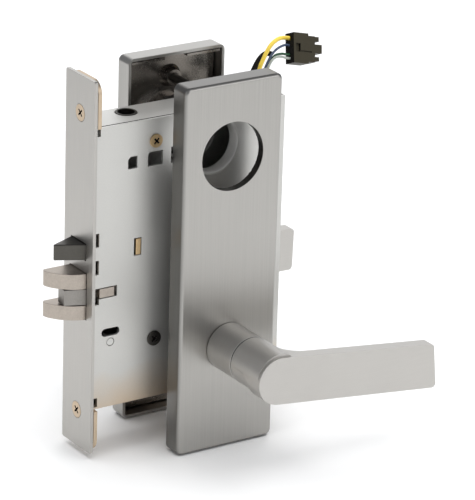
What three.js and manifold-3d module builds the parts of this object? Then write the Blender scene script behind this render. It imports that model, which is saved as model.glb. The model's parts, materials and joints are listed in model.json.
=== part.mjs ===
// Electrified mortise lock set with an escutcheon and lever on each side of the door.
// Millimetres. The origin is the centre of the armour front's outer face, +X goes into the
// door, +Y from the outside of the door to the inside, +Z up.
import * as THREE from "three";
import { mergeVertices } from "three/addons/utils/BufferGeometryUtils.js";
import Module from "manifold-3d";

const wasm = await Module();
wasm.setup();

// ---------------------------------------------------------------- driving dimensions
const clearance = 0.3; // between pieces that touch on the real lock
const doorThickness = 43.9;

const armour = { height: 203.2, width: 28.6, thickness: 1.8, screwZ: 81.5, corner: 1.2 };
const earPlate = { thickness: 2.2, width: 28.4, height: 202.4, cornerRadius: 7 };
const caseBox = { front: 3.0, rear: 116.5, top: 75.9, bottom: -77.9, width: 23.3, wall: 1.5 };
const backset = 70.9; // armour face to the lever and cylinder axes
const leverZ = -47.6;
const cylinderZ = 56.6;

const latch = { halfWidth: 8.3, top: -3.0, bottom: -28.2, rear: 22 };
const latchSlot = { top: -11.3, bottom: -20.3, rear: 14.2 };
const tongue = { reach: 10.5, pivotX: 9, pivotY: -2.5, pinRadius: 1.3 };
const auxLatch = { reach: 14.6, halfWidth: 7.3, top: 12.8, bottom: 4.2, rear: 20 };

const hub = { radius: 11, hornRadius: 26.87, hornHalf: 2.9, near: 0.6, far: 8.4 };
const spindle = { side: 8, reach: 66 };
const tail = { near: 1.0, far: 8.0, bottom: -16.5, top: -10.7, foot: 2, lugX: 75.5, lugWidth: 4 };
const latchSpring = { y: -4, z: -22, radius: 2.7, wire: 0.9, turns: 6, length: 25.1 };
const auxSpring = { radius: 2.6, wire: 0.8, turns: 8, length: 23.4 };

const solenoid = { x: 103.5, bottom: 0, top: 32, reach: 10.4, wall: 1.5, coilRadius: 8.6 };
const plunger = { radius: 2.6, bottom: -9.5, top: 24, flange: 5, flangeThickness: 1.5 };
const plungerSpring = { radius: 3.9, wire: 0.7, turns: 4 };
const lockSlide = { near: -4, far: -1, width: 5.5, footBottom: -56, footTop: -46.5 };

const plate = { width: 58.6, height: 201.4, depth: 11.3, centreZ: -3.9, face: 2, wall: 1.8 };
const plateEdge = { corner: 3.4, bevel: 1.8 };
const cylinderHole = { radius: 18.4, lip: 1.8, lipDepth: 4.6 };
const mountPlate = { thickness: 1.6, inset: 0.7, tabGap: 13.5, tabDepth: 6, tabThickness: 1.2 };
const boltBoss = { foot: 6.4, tip: 4.3, height: 5 };
const cylinderBoss = { outer: 15.8, inner: 13.8, height: 3.6 };
const neck = { radius: 12.8, seam: 56, bore: 9.5 };
const lever = { face: 83.5, thickness: 7.2, height: 25.4, tipHeight: 24.6, corner: 2, spindleGap: 0.54 };
const outsideBlade = { length: 96.1, droop: 6.7, drop: 1.5, slant: 4.4 }; // longer below by the slant
const insideBlade = { length: 114.5, droop: 1.6, drop: 1.5, slant: 0 };
const springCage = { radius: 19, bore: 8.5, depth: 4.6 };
const throughBolt = { fromTop: 14.8, fromBottom: 20.6, radius: 2.4, end: 14 };
const boltHead = { radius: 4.4, height: 2.2 };
const mountPost = { radius: 4, end: 4 };

const ring = { outer: 15.8, inner: 14.4, reach: 14.8 };
const topCollar = { x: 29.35, y: 3.8, radius: 5.7, bore: 4.5 };
const wireExit = { x: 105.6, y: 2.6, bore: 3.7, radius: 4.8, flange: 6.2, flangeTop: 77.1, wireStart: 66 };

const coverScrews = {
  head: 0.8,
  brass: { x: 37.9, z: 64.0, radius: 3.7 },
  steel: { x: 39.0, z: -44.8, radius: 4.1 },
};

// ---------------------------------------------------------------- shape helpers
const alongX = new THREE.Matrix4().makeBasis(
  new THREE.Vector3(0, 1, 0),
  new THREE.Vector3(0, 0, 1),
  new THREE.Vector3(1, 0, 0),
);

function extrude(shape, depth, options = {}) {
  return new THREE.ExtrudeGeometry(shape, { depth, bevelEnabled: false, ...options });
}

// A shape drawn in X and Y, from z0 up to z1.
function slabZ(shape, z0, z1) {
  return extrude(shape, z1 - z0).translate(0, 0, z0);
}

// A shape drawn in X and Z, from y0 to y1.
function slabY(shape, y0, y1) {
  return extrude(shape, y1 - y0).rotateX(Math.PI / 2).translate(0, y1, 0);
}

// A shape drawn in Y and Z, from x0 to x1.
function slabX(shape, x0, x1) {
  return extrude(shape, x1 - x0).applyMatrix4(alongX).translate(x0, 0, 0);
}

function box(x0, x1, y0, y1, z0, z1) {
  const made = new THREE.BoxGeometry(x1 - x0, y1 - y0, z1 - z0);
  return made.translate((x0 + x1) / 2, (y0 + y1) / 2, (z0 + z1) / 2);
}

function rodX(radius, x0, x1, y, z, sides = 32) {
  const made = new THREE.CylinderGeometry(radius, radius, x1 - x0, sides);
  return made.rotateZ(Math.PI / 2).translate((x0 + x1) / 2, y, z);
}

function rodY(radius, y0, y1, x, z, sides = 48) {
  const made = new THREE.CylinderGeometry(radius, radius, y1 - y0, sides);
  return made.translate(x, (y0 + y1) / 2, z);
}

function rodZ(radius, z0, z1, x, y, sides = 32) {
  const made = new THREE.CylinderGeometry(radius, radius, z1 - z0, sides);
  return made.rotateX(Math.PI / 2).translate(x, y, (z0 + z1) / 2);
}

function polygon(points) {
  return new THREE.Shape(points.map(([u, v]) => new THREE.Vector2(u, v)));
}

function rectangle(u0, u1, v0, v1) {
  return polygon([[u0, v0], [u1, v0], [u1, v1], [u0, v1]]);
}

function roundedRectangle(u0, u1, v0, v1, radius) {
  const shape = new THREE.Shape();
  shape.moveTo(u0 + radius, v0);
  shape.lineTo(u1 - radius, v0);
  shape.absarc(u1 - radius, v0 + radius, radius, -Math.PI / 2, 0, false);
  shape.lineTo(u1, v1 - radius);
  shape.absarc(u1 - radius, v1 - radius, radius, 0, Math.PI / 2, false);
  shape.lineTo(u0 + radius, v1);
  shape.absarc(u0 + radius, v1 - radius, radius, Math.PI / 2, Math.PI, false);
  shape.lineTo(u0, v0 + radius);
  shape.absarc(u0 + radius, v0 + radius, radius, Math.PI, Math.PI * 1.5, false);
  return shape;
}

function circle(u, v, radius) {
  const shape = new THREE.Shape();
  shape.absarc(u, v, radius, 0, Math.PI * 2, false);
  return shape;
}

// ---------------------------------------------------------------- joins and cuts
function solid(geometry) {
  const plain = geometry.index ? geometry.toNonIndexed() : geometry.clone();
  plain.deleteAttribute("normal");
  plain.deleteAttribute("uv");
  const merged = mergeVertices(plain, 1e-4);
  return new wasm.Manifold(
    new wasm.Mesh({
      numProp: 3,
      vertProperties: new Float32Array(merged.attributes.position.array),
      triVerts: new Uint32Array(merged.index.array),
    }),
  );
}

function toGeometry(made) {
  const mesh = made.getMesh();
  const indexed = new THREE.BufferGeometry();
  indexed.setAttribute("position", new THREE.BufferAttribute(mesh.vertProperties, 3));
  indexed.setIndex(new THREE.BufferAttribute(mesh.triVerts, 1));
  const flat = indexed.toNonIndexed();
  flat.computeVertexNormals();
  return flat;
}

function join(...pieces) {
  return toGeometry(pieces.map(solid).reduce((all, piece) => all.add(piece)));
}

function cut(base, ...tools) {
  return toGeometry(tools.map(solid).reduce((left, tool) => left.subtract(tool), solid(base)));
}

// A plate on one side of the door is drawn for the inside (+Y) and turned over for the outside.
function mirrorY(geometry) {
  const flipped = geometry.index ? geometry.toNonIndexed() : geometry.clone();
  flipped.scale(1, -1, 1);
  const p = flipped.attributes.position;
  const a = new THREE.Vector3();
  const b = new THREE.Vector3();
  for (let i = 0; i < p.count; i += 3) {
    a.fromBufferAttribute(p, i + 1);
    b.fromBufferAttribute(p, i + 2);
    p.setXYZ(i + 1, b.x, b.y, b.z);
    p.setXYZ(i + 2, a.x, a.y, a.z);
  }
  flipped.computeVertexNormals();
  return flipped;
}

// ---------------------------------------------------------------- materials and the group
const finish = {
  satin_front: { color: 0xb2b0aa, roughness: 0.38, metalness: 0.95 },
  satin_trim: { color: 0xb9b7b2, roughness: 0.34, metalness: 0.95 },
  lever_metal: { color: 0xbebbb5, roughness: 0.34, metalness: 0.95 },
  case_steel: { color: 0xc8c7c3, roughness: 0.3, metalness: 0.95 },
  zinc_plate: { color: 0xc8ac87, roughness: 0.4, metalness: 0.9 },
  latch_steel: { color: 0xafa79e, roughness: 0.35, metalness: 0.95 },
  dark_steel: { color: 0x55524e, roughness: 0.45, metalness: 0.9 },
  brass: { color: 0xb99a5b, roughness: 0.35, metalness: 0.95 },
  bright_steel: { color: 0xd8d6d2, roughness: 0.22, metalness: 1.0 },
  coil_wrap: { color: 0x2c2a28, roughness: 0.55, metalness: 0.0 },
  black_rubber: { color: 0x1c1b1a, roughness: 0.7, metalness: 0.0 },
  connector_nylon: { color: 0x3c372d, roughness: 0.5, metalness: 0.0 },
  wire_yellow: { color: 0xd9b21c, roughness: 0.45, metalness: 0.0 },
  wire_blue: { color: 0x5f7390, roughness: 0.45, metalness: 0.0 },
  wire_green: { color: 0x4e7a52, roughness: 0.45, metalness: 0.0 },
  wire_white: { color: 0xd9dad6, roughness: 0.45, metalness: 0.0 },
};

const lock = new THREE.Group();

function add(name, slot, geometry) {
  const material = new THREE.MeshStandardMaterial(finish[slot]);
  const mesh = new THREE.Mesh(geometry, material);
  mesh.name = name;
  lock.add(mesh);
  return mesh;
}

// ---------------------------------------------------------------- fasteners
// A screw along X or Y with its head at 0 and its shank in the positive direction.
function screw({ headRadius, headThickness, flat, shankRadius, length, cross }) {
  const headBase = flat ? shankRadius : headRadius;
  const points = [
    [0, 0],
    [headRadius, 0],
    [headBase, headThickness],
    [shankRadius, headThickness],
    [shankRadius, length],
    [0, length],
  ].map(([r, h]) => new THREE.Vector2(r, h));
  const unique = points.filter((p, i) => i === 0 || !p.equals(points[i - 1]));
  const body = new THREE.LatheGeometry(unique, 32);
  const slotDepth = headThickness * 0.55;
  const arm = headRadius * 0.55;
  const half = cross / 2;
  return cut(
    body,
    box(-arm, arm, -1, slotDepth, -half, half),
    box(-half, half, -1, slotDepth, -arm, arm),
  );
}

// A helix of round wire along its own Z, from 0 to the given length.
function coil({ radius, wire, turns, length }) {
  class Helix extends THREE.Curve {
    getPoint(t, target = new THREE.Vector3()) {
      const angle = t * turns * Math.PI * 2;
      const rise = wire / 2 + t * (length - wire);
      return target.set(radius * Math.cos(angle), radius * Math.sin(angle), rise);
    }
  }
  return new THREE.ExtrudeGeometry(polygonCircle(wire / 2, 6), {
    steps: turns * 14,
    bevelEnabled: false,
    extrudePath: new Helix(),
  });
}

function polygonCircle(radius, sides) {
  const points = [];
  for (let i = 0; i < sides; i++) {
    const angle = (i / sides) * Math.PI * 2;
    points.push([radius * Math.cos(angle), radius * Math.sin(angle)]);
  }
  return polygon(points);
}

// ---------------------------------------------------------------- armour front
const latchOpening = [-latch.halfWidth - 0.5, latch.halfWidth + 0.5, latch.bottom - 0.3, latch.top + 0.3];
const auxOpening = [
  -auxLatch.halfWidth - 0.4,
  auxLatch.halfWidth + 0.4,
  auxLatch.bottom - 0.4,
  auxLatch.top + 0.4,
];
const armourScrew = { headRadius: 4.4, headThickness: 2.1, shankRadius: 2.4, length: 7.2 };

function armourFront() {
  const w = armour.width / 2;
  const h = armour.height / 2;
  const outline = roundedRectangle(-w, w, -h, h, armour.corner);
  outline.holes.push(rectangle(...latchOpening));
  outline.holes.push(rectangle(...auxOpening));
  const sink = new THREE.CylinderGeometry(
    armourScrew.headRadius + clearance,
    armourScrew.shankRadius + clearance,
    2.3,
    32,
  );
  sink.rotateZ(Math.PI / 2); // wide end towards -X
  const tools = [];
  for (const side of [1, -1]) {
    tools.push(sink.clone().translate(1.1, 0, side * armour.screwZ));
    tools.push(rodX(armourScrew.shankRadius + clearance, -1, 4, 0, side * armour.screwZ));
  }
  return cut(slabX(outline, 0, armour.thickness), ...tools);
}

function armourScrewAt(z) {
  const made = screw({ ...armourScrew, flat: true, cross: 1.1 });
  return made.rotateZ(-Math.PI / 2).translate(0, 0, z);
}

// The plate behind the armour front: full width above and below the case, narrow between its walls.
function innerFrontPlate() {
  const w = earPlate.width / 2;
  const h = earPlate.height / 2;
  const r = earPlate.cornerRadius;
  const narrow = caseBox.width / 2 - caseBox.wall - clearance;
  const top = caseBox.top + clearance;
  const bottom = caseBox.bottom - clearance;
  const shape = new THREE.Shape();
  shape.moveTo(-narrow, bottom);
  shape.lineTo(-w, bottom);
  shape.lineTo(-w, -h + r);
  shape.absarc(-w + r, -h + r, r, Math.PI, Math.PI * 1.5, false);
  shape.lineTo(w - r, -h);
  shape.absarc(w - r, -h + r, r, -Math.PI / 2, 0, false);
  shape.lineTo(w, bottom);
  shape.lineTo(narrow, bottom);
  shape.lineTo(narrow, top);
  shape.lineTo(w, top);
  shape.lineTo(w, h - r);
  shape.absarc(w - r, h - r, r, 0, Math.PI / 2, false);
  shape.lineTo(-w + r, h);
  shape.absarc(-w + r, h - r, r, Math.PI / 2, Math.PI, false);
  shape.lineTo(-w, top);
  shape.lineTo(-narrow, top);
  shape.holes.push(rectangle(...latchOpening));
  shape.holes.push(rectangle(...auxOpening));
  shape.holes.push(circle(0, armour.screwZ, armourScrew.shankRadius + clearance));
  shape.holes.push(circle(0, -armour.screwZ, armourScrew.shankRadius + clearance));
  const back = armour.thickness + clearance;
  return slabX(shape, back, back + earPlate.thickness);
}

add("armour_front", "satin_front", armourFront());
add("inner_front_plate", "zinc_plate", innerFrontPlate());
add("front_screw_top", "zinc_plate", armourScrewAt(armour.screwZ));
add("front_screw_bottom", "zinc_plate", armourScrewAt(-armour.screwZ));

// ---------------------------------------------------------------- lock case
const caseHalf = caseBox.width / 2;
const caseInner = caseHalf - caseBox.wall;
const caseFrontWall = armour.thickness + clearance + earPlate.thickness + clearance;
const hubHole = 12.4;

function caseBody() {
  const { rear, top, bottom, wall } = caseBox;
  const outer = box(caseFrontWall, rear, -caseInner + clearance, caseHalf, bottom, top);
  const inside = box(0, rear - wall, -caseHalf, caseInner, bottom + wall, top - wall);
  const lip = box(caseBox.front, caseFrontWall + 2, caseInner, caseHalf, bottom, top);
  return toGeometry(
    solid(outer)
      .subtract(solid(inside))
      .add(solid(lip))
      .subtract(solid(rodY(ring.outer + clearance, 0, 20, backset, cylinderZ, 64)))
      .subtract(solid(rodY(hubHole, 0, 20, backset, leverZ)))
      .subtract(solid(rodZ(topCollar.radius + clearance, top - 4, top + 4, topCollar.x, topCollar.y)))
      .subtract(solid(rodZ(wireExit.radius + clearance, top - 4, top + 4, wireExit.x, wireExit.y))),
  );
}

// Notches in the cover's front edge, each with its lower end, its upper end and its depth in X.
// A stepped notch also has the height of its step and the lesser depth below it.
const coverNotches = [
  { low: -76.9, high: -71.9, depth: 5.5 },
  { low: -19.9, high: -10.9, depth: 16.4, step: -16.9, stepDepth: 5.7 },
  { low: -3.3, high: 4.5, depth: 5.3 },
  { low: 11.8, high: 19.3, depth: 5.3 },
  { low: 71.4, high: 75.2, depth: 5.3 },
];

function caseCover() {
  const { front, rear, top, bottom } = caseBox;
  const points = [[rear, bottom], [rear, top], [front, top]];
  for (const { low, high, depth, step, stepDepth } of [...coverNotches].reverse()) {
    points.push([front, high], [depth, high]);
    if (step) points.push([depth, step], [stepDepth, step], [stepDepth, low], [front, low]);
    else points.push([depth, low], [front, low]);
  }
  points.push([front, bottom]);
  const outline = polygon(points);
  const windows = [
    polygon([[21.7, 51], [27.2, 51], [27.2, 57.6], [23.2, 57.6], [21.7, 56.1]]),
    polygon([[33.5, 50.5], [42.4, 50.5], [42.4, 58.2], [34.6, 58.2], [33.5, 57.1]]),
    rectangle(47.3, 51.5, 50.1, 59.0),
    rectangle(26.1, 30.6, 3.2, 12.8),
    roundedRectangle(7.5, 18.3, -38.4, -34.0, 2.1),
    circle(12.9, -41.8, 2.3),
    circle(backset, cylinderZ, ring.outer + clearance),
    circle(backset, leverZ, hubHole),
    circle(coverScrews.brass.x, coverScrews.brass.z, 2.3),
    circle(coverScrews.steel.x, coverScrews.steel.z, 2.3),
  ];
  outline.holes.push(...windows);
  return slabY(outline, -caseHalf, -caseInner);
}

function coverScrewAt({ x, z, radius }) {
  const made = screw({
    headRadius: radius,
    headThickness: coverScrews.head,
    flat: false,
    shankRadius: 2.0,
    length: 17,
    cross: 1.1,
  });
  return made.translate(x, -caseHalf - coverScrews.head - clearance, z);
}

function tubeY(outer, inner, y0, y1, x, z, hole = circle(x, z, inner)) {
  const shape = circle(x, z, outer);
  shape.holes.push(hole);
  return slabY(shape, y0, y1);
}

function topCollarRing() {
  const shape = circle(topCollar.x, topCollar.y, topCollar.radius);
  shape.holes.push(circle(topCollar.x, topCollar.y, topCollar.bore));
  return slabZ(shape, caseBox.top - 4, caseBox.top + 0.3);
}

const insideNear = -caseInner + clearance;
const insideFar = caseInner - clearance;
add("case_body", "case_steel", caseBody());
add("case_cover", "case_steel", caseCover());
add("cover_screw_brass", "brass", coverScrewAt(coverScrews.brass));
add("cover_screw_steel", "dark_steel", coverScrewAt(coverScrews.steel));
for (const [name, at] of [["upper", coverScrews.brass], ["lower", coverScrews.steel]])
  add(`cover_post_${name}`, "dark_steel", tubeY(3.6, 2.3, insideNear, insideFar, at.x, at.z));
add("case_top_collar", "bright_steel", topCollarRing());
add("reversing_pin", "bright_steel", rodY(2, -caseHalf, -3, 12.9, -41.8, 24));
add("latch_side_guide", "latch_steel", box(6.1, 14.9, -caseHalf + 0.2, -latch.halfWidth - 0.5, -16.5, -11.5));
add("cover_clip", "brass", box(27.4, 30.3, -caseHalf + 0.2, -9.2, 3.5, 12.2));

// ---------------------------------------------------------------- latch bolt
function latchPlan() {
  const w = latch.halfWidth;
  const shape = new THREE.Shape();
  shape.moveTo(latch.rear, -w);
  shape.lineTo(latch.rear, w);
  shape.lineTo(-15.4, w);
  shape.quadraticCurveTo(-17.6, w - 0.9, -15.6, w - 5.1);
  shape.quadraticCurveTo(-9.8, 1.7 - w, 0, -w);
  return shape;
}

function latchBolt() {
  const slot = box(
    -30,
    latchSlot.rear,
    -latch.halfWidth - 1,
    latch.halfWidth + 1,
    latchSlot.bottom,
    latchSlot.top,
  );
  const pinHole = rodZ(tongue.pinRadius + 0.2, -40, 10, tongue.pivotX, tongue.pivotY, 24);
  return cut(slabZ(latchPlan(), latch.bottom, latch.top), slot, pinHole);
}

function latchTongue() {
  const near = -latch.halfWidth;
  const shape = polygon([
    [12.5, near + clearance],
    [12.5, 2.0],
    [-tongue.reach, 2.0],
    [-tongue.reach, near + 4.2],
    [0, near + 0.1],
  ]);
  shape.holes.push(circle(tongue.pivotX, tongue.pivotY, tongue.pinRadius + 0.2));
  return slabZ(shape, latchSlot.bottom + clearance, latchSlot.top - clearance);
}

function latchTail() {
  const footFront = latch.rear + clearance;
  const footBack = footFront + tail.foot;
  const lugEnd = tail.lugX + tail.lugWidth;
  const w = latch.halfWidth - 0.3;
  return join(
    box(footFront, footBack, -w, w, latch.bottom + 0.8, latch.top - 1),
    box(footBack - 0.5, lugEnd, tail.near, tail.far, tail.bottom, tail.top),
    box(tail.lugX, lugEnd, tail.near, tail.far, -26, tail.bottom + 0.5),
  );
}

const tailBack = latch.rear + clearance + tail.foot;
const latchSpringStart = tailBack + clearance;
const latchSpringEnd = latchSpringStart + latchSpring.length;
const auxSpringStart = auxLatch.rear + clearance;
const auxSpringEnd = auxSpringStart + auxSpring.length;
const auxMiddleZ = (auxLatch.top + auxLatch.bottom) / 2;

function springAlongX(spring, x, y, z) {
  return coil(spring).rotateY(Math.PI / 2).translate(x, y, z);
}

function auxiliaryLatch() {
  const w = auxLatch.halfWidth;
  const shape = new THREE.Shape();
  shape.moveTo(auxLatch.rear, -w);
  shape.lineTo(auxLatch.rear, w);
  shape.lineTo(0, w);
  shape.lineTo(-auxLatch.reach + 0.6, 1.0);
  shape.quadraticCurveTo(-auxLatch.reach - 0.3, 0.3, -auxLatch.reach + 0.6, -0.4);
  shape.lineTo(0, -w);
  return slabZ(shape, auxLatch.bottom, auxLatch.top);
}

add("latch_bolt", "latch_steel", latchBolt());
add("latch_tongue", "dark_steel", latchTongue());
add(
  "tongue_pin",
  "bright_steel",
  rodZ(tongue.pinRadius, latch.bottom + 0.6, latch.top - 0.6, tongue.pivotX, tongue.pivotY, 24),
);
add("latch_tail", "latch_steel", latchTail());
add(
  "latch_spring",
  "bright_steel",
  springAlongX(latchSpring, latchSpringStart, latchSpring.y, latchSpring.z),
);
add(
  "latch_spring_anchor",
  "dark_steel",
  box(latchSpringEnd + clearance, latchSpringEnd + 3.3, insideNear, 0.4, -27, -17),
);
add("auxiliary_latch", "dark_steel", auxiliaryLatch());
add("auxiliary_spring", "bright_steel", springAlongX(auxSpring, auxSpringStart, 0, auxMiddleZ));
add(
  "auxiliary_spring_anchor",
  "dark_steel",
  box(auxSpringEnd + clearance, auxSpringEnd + 3, -5, insideFar, auxLatch.bottom, auxLatch.top),
);

// ---------------------------------------------------------------- hubs and spindles
function squareAt(x, z, half) {
  return rectangle(x - half, x + half, z - half, z + half);
}

// A hub with its horn straight up, on the inside (+Y) half of the case.
function hubGeometry() {
  const round = circle(backset, leverZ, hub.radius);
  const h = hub.hornHalf;
  const tip = leverZ + hub.hornRadius;
  const horn = new THREE.Shape();
  horn.moveTo(backset - h, leverZ + hub.radius - 3);
  horn.lineTo(backset + h, leverZ + hub.radius - 3);
  horn.lineTo(backset + h, tip);
  horn.absarc(backset, tip, h, 0, Math.PI, false);
  const body = join(slabY(round, hub.near, hub.far), slabY(horn, hub.near, hub.far));
  const hole = squareAt(backset, leverZ, spindle.side / 2 + clearance);
  return cut(body, slabY(hole, -1, hub.far + 1));
}

function spindleGeometry() {
  const section = squareAt(backset, leverZ, spindle.side / 2);
  return slabY(section, hub.near + 0.4, spindle.reach);
}

add("inside_hub", "dark_steel", hubGeometry());
add("outside_hub", "dark_steel", mirrorY(hubGeometry()));
add("inside_spindle", "bright_steel", spindleGeometry());
add("outside_spindle", "bright_steel", mirrorY(spindleGeometry()));

// ---------------------------------------------------------------- solenoid and locking slide
function solenoidBracket() {
  const { x, reach, wall, bottom, top } = solenoid;
  const left = x - reach;
  const right = x + reach;
  const shape = polygon([
    [left, bottom],
    [right, bottom],
    [right, top],
    [left, top],
    [left, top - wall],
    [right - wall, top - wall],
    [right - wall, bottom + wall],
    [left, bottom + wall],
  ]);
  const hole = rodZ(plunger.radius + 0.5, bottom - 1, bottom + wall + 1, x, 0);
  return cut(slabY(shape, insideNear, insideFar), hole);
}

function solenoidCoil() {
  const shape = circle(solenoid.x, 0, solenoid.coilRadius);
  shape.holes.push(circle(solenoid.x, 0, plunger.radius + 0.5));
  const { bottom, top, wall } = solenoid;
  return slabZ(shape, bottom + wall + clearance, top - wall - clearance);
}

function solenoidPlunger() {
  const { radius, bottom, top, flange, flangeThickness } = plunger;
  return join(
    rodZ(radius, bottom, top, solenoid.x, 0),
    rodZ(flange, bottom, bottom + flangeThickness, solenoid.x, 0),
  );
}

const plungerSpringBottom = plunger.bottom + plunger.flangeThickness + clearance;
const plungerSpringTop = solenoid.bottom - clearance;

function lockingSlide() {
  const { near, far, width, footBottom, footTop } = lockSlide;
  const left = backset + hub.radius + 0.7;
  const right = solenoid.x + width / 2;
  const top = plunger.bottom - clearance;
  const shape = polygon([
    [left, footBottom],
    [right, footBottom],
    [right, top],
    [right - width, top],
    [right - width, footTop],
    [left, footTop],
  ]);
  return slabY(shape, near, far);
}

add("solenoid_bracket", "case_steel", solenoidBracket());
add("solenoid_coil", "coil_wrap", solenoidCoil());
add("solenoid_plunger", "bright_steel", solenoidPlunger());
add(
  "solenoid_spring",
  "bright_steel",
  coil({ ...plungerSpring, length: plungerSpringTop - plungerSpringBottom }).translate(
    solenoid.x,
    0,
    plungerSpringBottom,
  ),
);
add("locking_slide", "zinc_plate", lockingSlide());

// ---------------------------------------------------------------- cylinder rings
const insideRing = tubeY(ring.outer, ring.inner, caseInner - 3, ring.reach, backset, cylinderZ);
add("inside_cylinder_ring", "case_steel", insideRing);
add("outside_cylinder_ring", "case_steel", mirrorY(insideRing));
add("cylinder_cam_block", "dark_steel", box(57.5, 63.0, -4.5, caseInner - 3 - clearance, 49, 65));

// ---------------------------------------------------------------- escutcheons, drawn for the inside
const plateBack = doorThickness / 2;
const plateFront = plateBack + plate.depth;
const plateLeft = backset - plate.width / 2;
const plateRight = backset + plate.width / 2;
const plateTop = plate.centreZ + plate.height / 2;
const plateBottom = plate.centreZ - plate.height / 2;

const boltHeights = [plateTop - throughBolt.fromTop, plateBottom + throughBolt.fromBottom];

function escutcheon(withCylinderHole) {
  const b = plateEdge.bevel;
  const outline = roundedRectangle(
    plateLeft + b,
    plateRight - b,
    plateBottom + b,
    plateTop - b,
    plateEdge.corner - b,
  );
  const block = extrude(outline, plate.depth - b + 5, {
    bevelEnabled: true,
    bevelSize: b,
    bevelThickness: b,
    bevelSegments: 3,
  });
  block.rotateX(Math.PI / 2).translate(0, plateFront - b, 0);
  const w = plate.wall;
  const spare = box(-20, 220, -60, plateBack, -200, 200);
  const innerFace = plateFront - plate.face;
  const hollow = box(plateLeft + w, plateRight - w, 0, innerFace, plateBottom + w, plateTop - w);
  let shell = solid(block).subtract(solid(spare)).subtract(solid(hollow));
  shell = shell.subtract(solid(rodY(neck.bore, 0, 60, backset, leverZ)));
  if (!withCylinderHole)
    for (const z of boltHeights)
      shell = shell.subtract(solid(rodY(throughBolt.radius + clearance, 0, 60, backset, z, 32)));
  if (withCylinderHole) {
    const { radius, lip, lipDepth } = cylinderHole;
    const rim = rodY(radius + lip, plateFront - lipDepth, plateFront - 0.5, backset, cylinderZ, 64);
    shell = shell.add(solid(rim)).subtract(solid(rodY(radius, 0, 60, backset, cylinderZ, 72)));
  }
  return toGeometry(shell);
}

const mountFar = plateFront - plate.face - 0.8;
const mountNear = mountFar - mountPlate.thickness;

// A tray deep in the escutcheon: a flat plate, a tab on each side of the gap in its top edge,
// and on the inside one a cone around each bolt and a ring at the cylinder's place.
function mountingPlate(onOutside) {
  const gap = plate.wall + mountPlate.inset;
  const left = plateLeft + gap;
  const right = plateRight - gap;
  const top = plateTop - gap;
  const half = mountPlate.tabGap / 2;
  const outline = rectangle(left, right, plateBottom + gap, top);
  const tabNear = mountNear - mountPlate.tabDepth;
  const tabBottom = top - mountPlate.tabThickness;
  const pieces = [
    slabY(outline, mountNear, mountFar),
    box(left, backset - half, tabNear, mountNear + 0.5, tabBottom, top),
    box(backset + half, right, tabNear, mountNear + 0.5, tabBottom, top),
  ];
  const boltHole = onOutside ? mountPost.radius : throughBolt.radius;
  const cylinderBore = onOutside ? cylinderHole.radius + cylinderHole.lip + 0.6 : cylinderBoss.inner;
  const tools = [
    rodY(neck.bore, 0, 60, backset, leverZ),
    rodY(cylinderBore, 0, 60, backset, cylinderZ, 64),
  ];
  for (const z of boltHeights) {
    if (!onOutside) {
      const cone = new THREE.CylinderGeometry(boltBoss.foot, boltBoss.tip, boltBoss.height, 40);
      pieces.push(cone.translate(backset, mountNear - boltBoss.height / 2 + 0.3, z));
    }
    tools.push(rodY(boltHole + clearance, 0, 60, backset, z, 32));
  }
  if (!onOutside) {
    const near = mountNear - cylinderBoss.height;
    pieces.push(rodY(cylinderBoss.outer, near, mountNear + 0.5, backset, cylinderZ, 64));
  }
  return cut(join(...pieces), ...tools);
}

function springCageGeometry() {
  const far = mountNear - clearance;
  return tubeY(springCage.radius, springCage.bore, far - springCage.depth, far, backset, leverZ);
}

function neckCollar() {
  return tubeY(neck.radius, neck.bore, plateFront + clearance, neck.seam, backset, leverZ);
}

function leverGeometry({ length, droop, drop, slant }) {
  const half = lever.height / 2;
  const tipHalf = lever.tipHeight / 2;
  const r = lever.corner;
  const lean = Math.atan2(slant, lever.tipHeight);
  const blade = new THREE.Shape();
  blade.moveTo(0, -half);
  blade.lineTo(length + slant - r, -tipHalf);
  blade.absarc(length + slant - r, -tipHalf + r, r, -Math.PI / 2, lean, false);
  blade.absarc(length - r, tipHalf - r, r, lean, Math.PI / 2, false);
  blade.lineTo(0, half);
  blade.absarc(0, 0, half, Math.PI / 2, Math.PI * 1.5, false);
  const bar = slabY(blade, lever.face - lever.thickness, lever.face);
  bar.translate(0, 0, -drop);
  bar.rotateY((droop * Math.PI) / 180).translate(backset, 0, leverZ);
  const start = neck.seam + clearance;
  const stem = rodY(neck.radius, start, lever.face - 0.8, backset, leverZ, 64);
  const boreRadius = spindle.side * Math.SQRT1_2 + lever.spindleGap;
  const bore = rodY(boreRadius, start - 1, spindle.reach + 1, backset, leverZ, 32);
  const screwHole = rodZ(2.3, leverZ - 20, leverZ - 3, backset, neck.seam + 5, 24);
  return cut(join(bar, stem), bore, screwHole);
}

function setScrew() {
  const start = leverZ - neck.radius + 0.6;
  return rodZ(2, start, start + 5, backset, neck.seam + 5, 24);
}

for (const [side, turned, blade] of [
  ["inside", (g) => g, insideBlade],
  ["outside", mirrorY, outsideBlade],
]) {
  add(`${side}_escutcheon`, "satin_trim", turned(escutcheon(side === "outside")));
  add(`${side}_mount_plate`, "case_steel", turned(mountingPlate(side === "outside")));
  add(`${side}_spring_cage`, "dark_steel", turned(springCageGeometry()));
  add(`${side}_neck_collar`, "lever_metal", turned(neckCollar()));
  add(`${side}_lever`, "lever_metal", turned(leverGeometry(blade)));
  add(`${side}_set_screw`, "dark_steel", turned(setScrew()));
}

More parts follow.
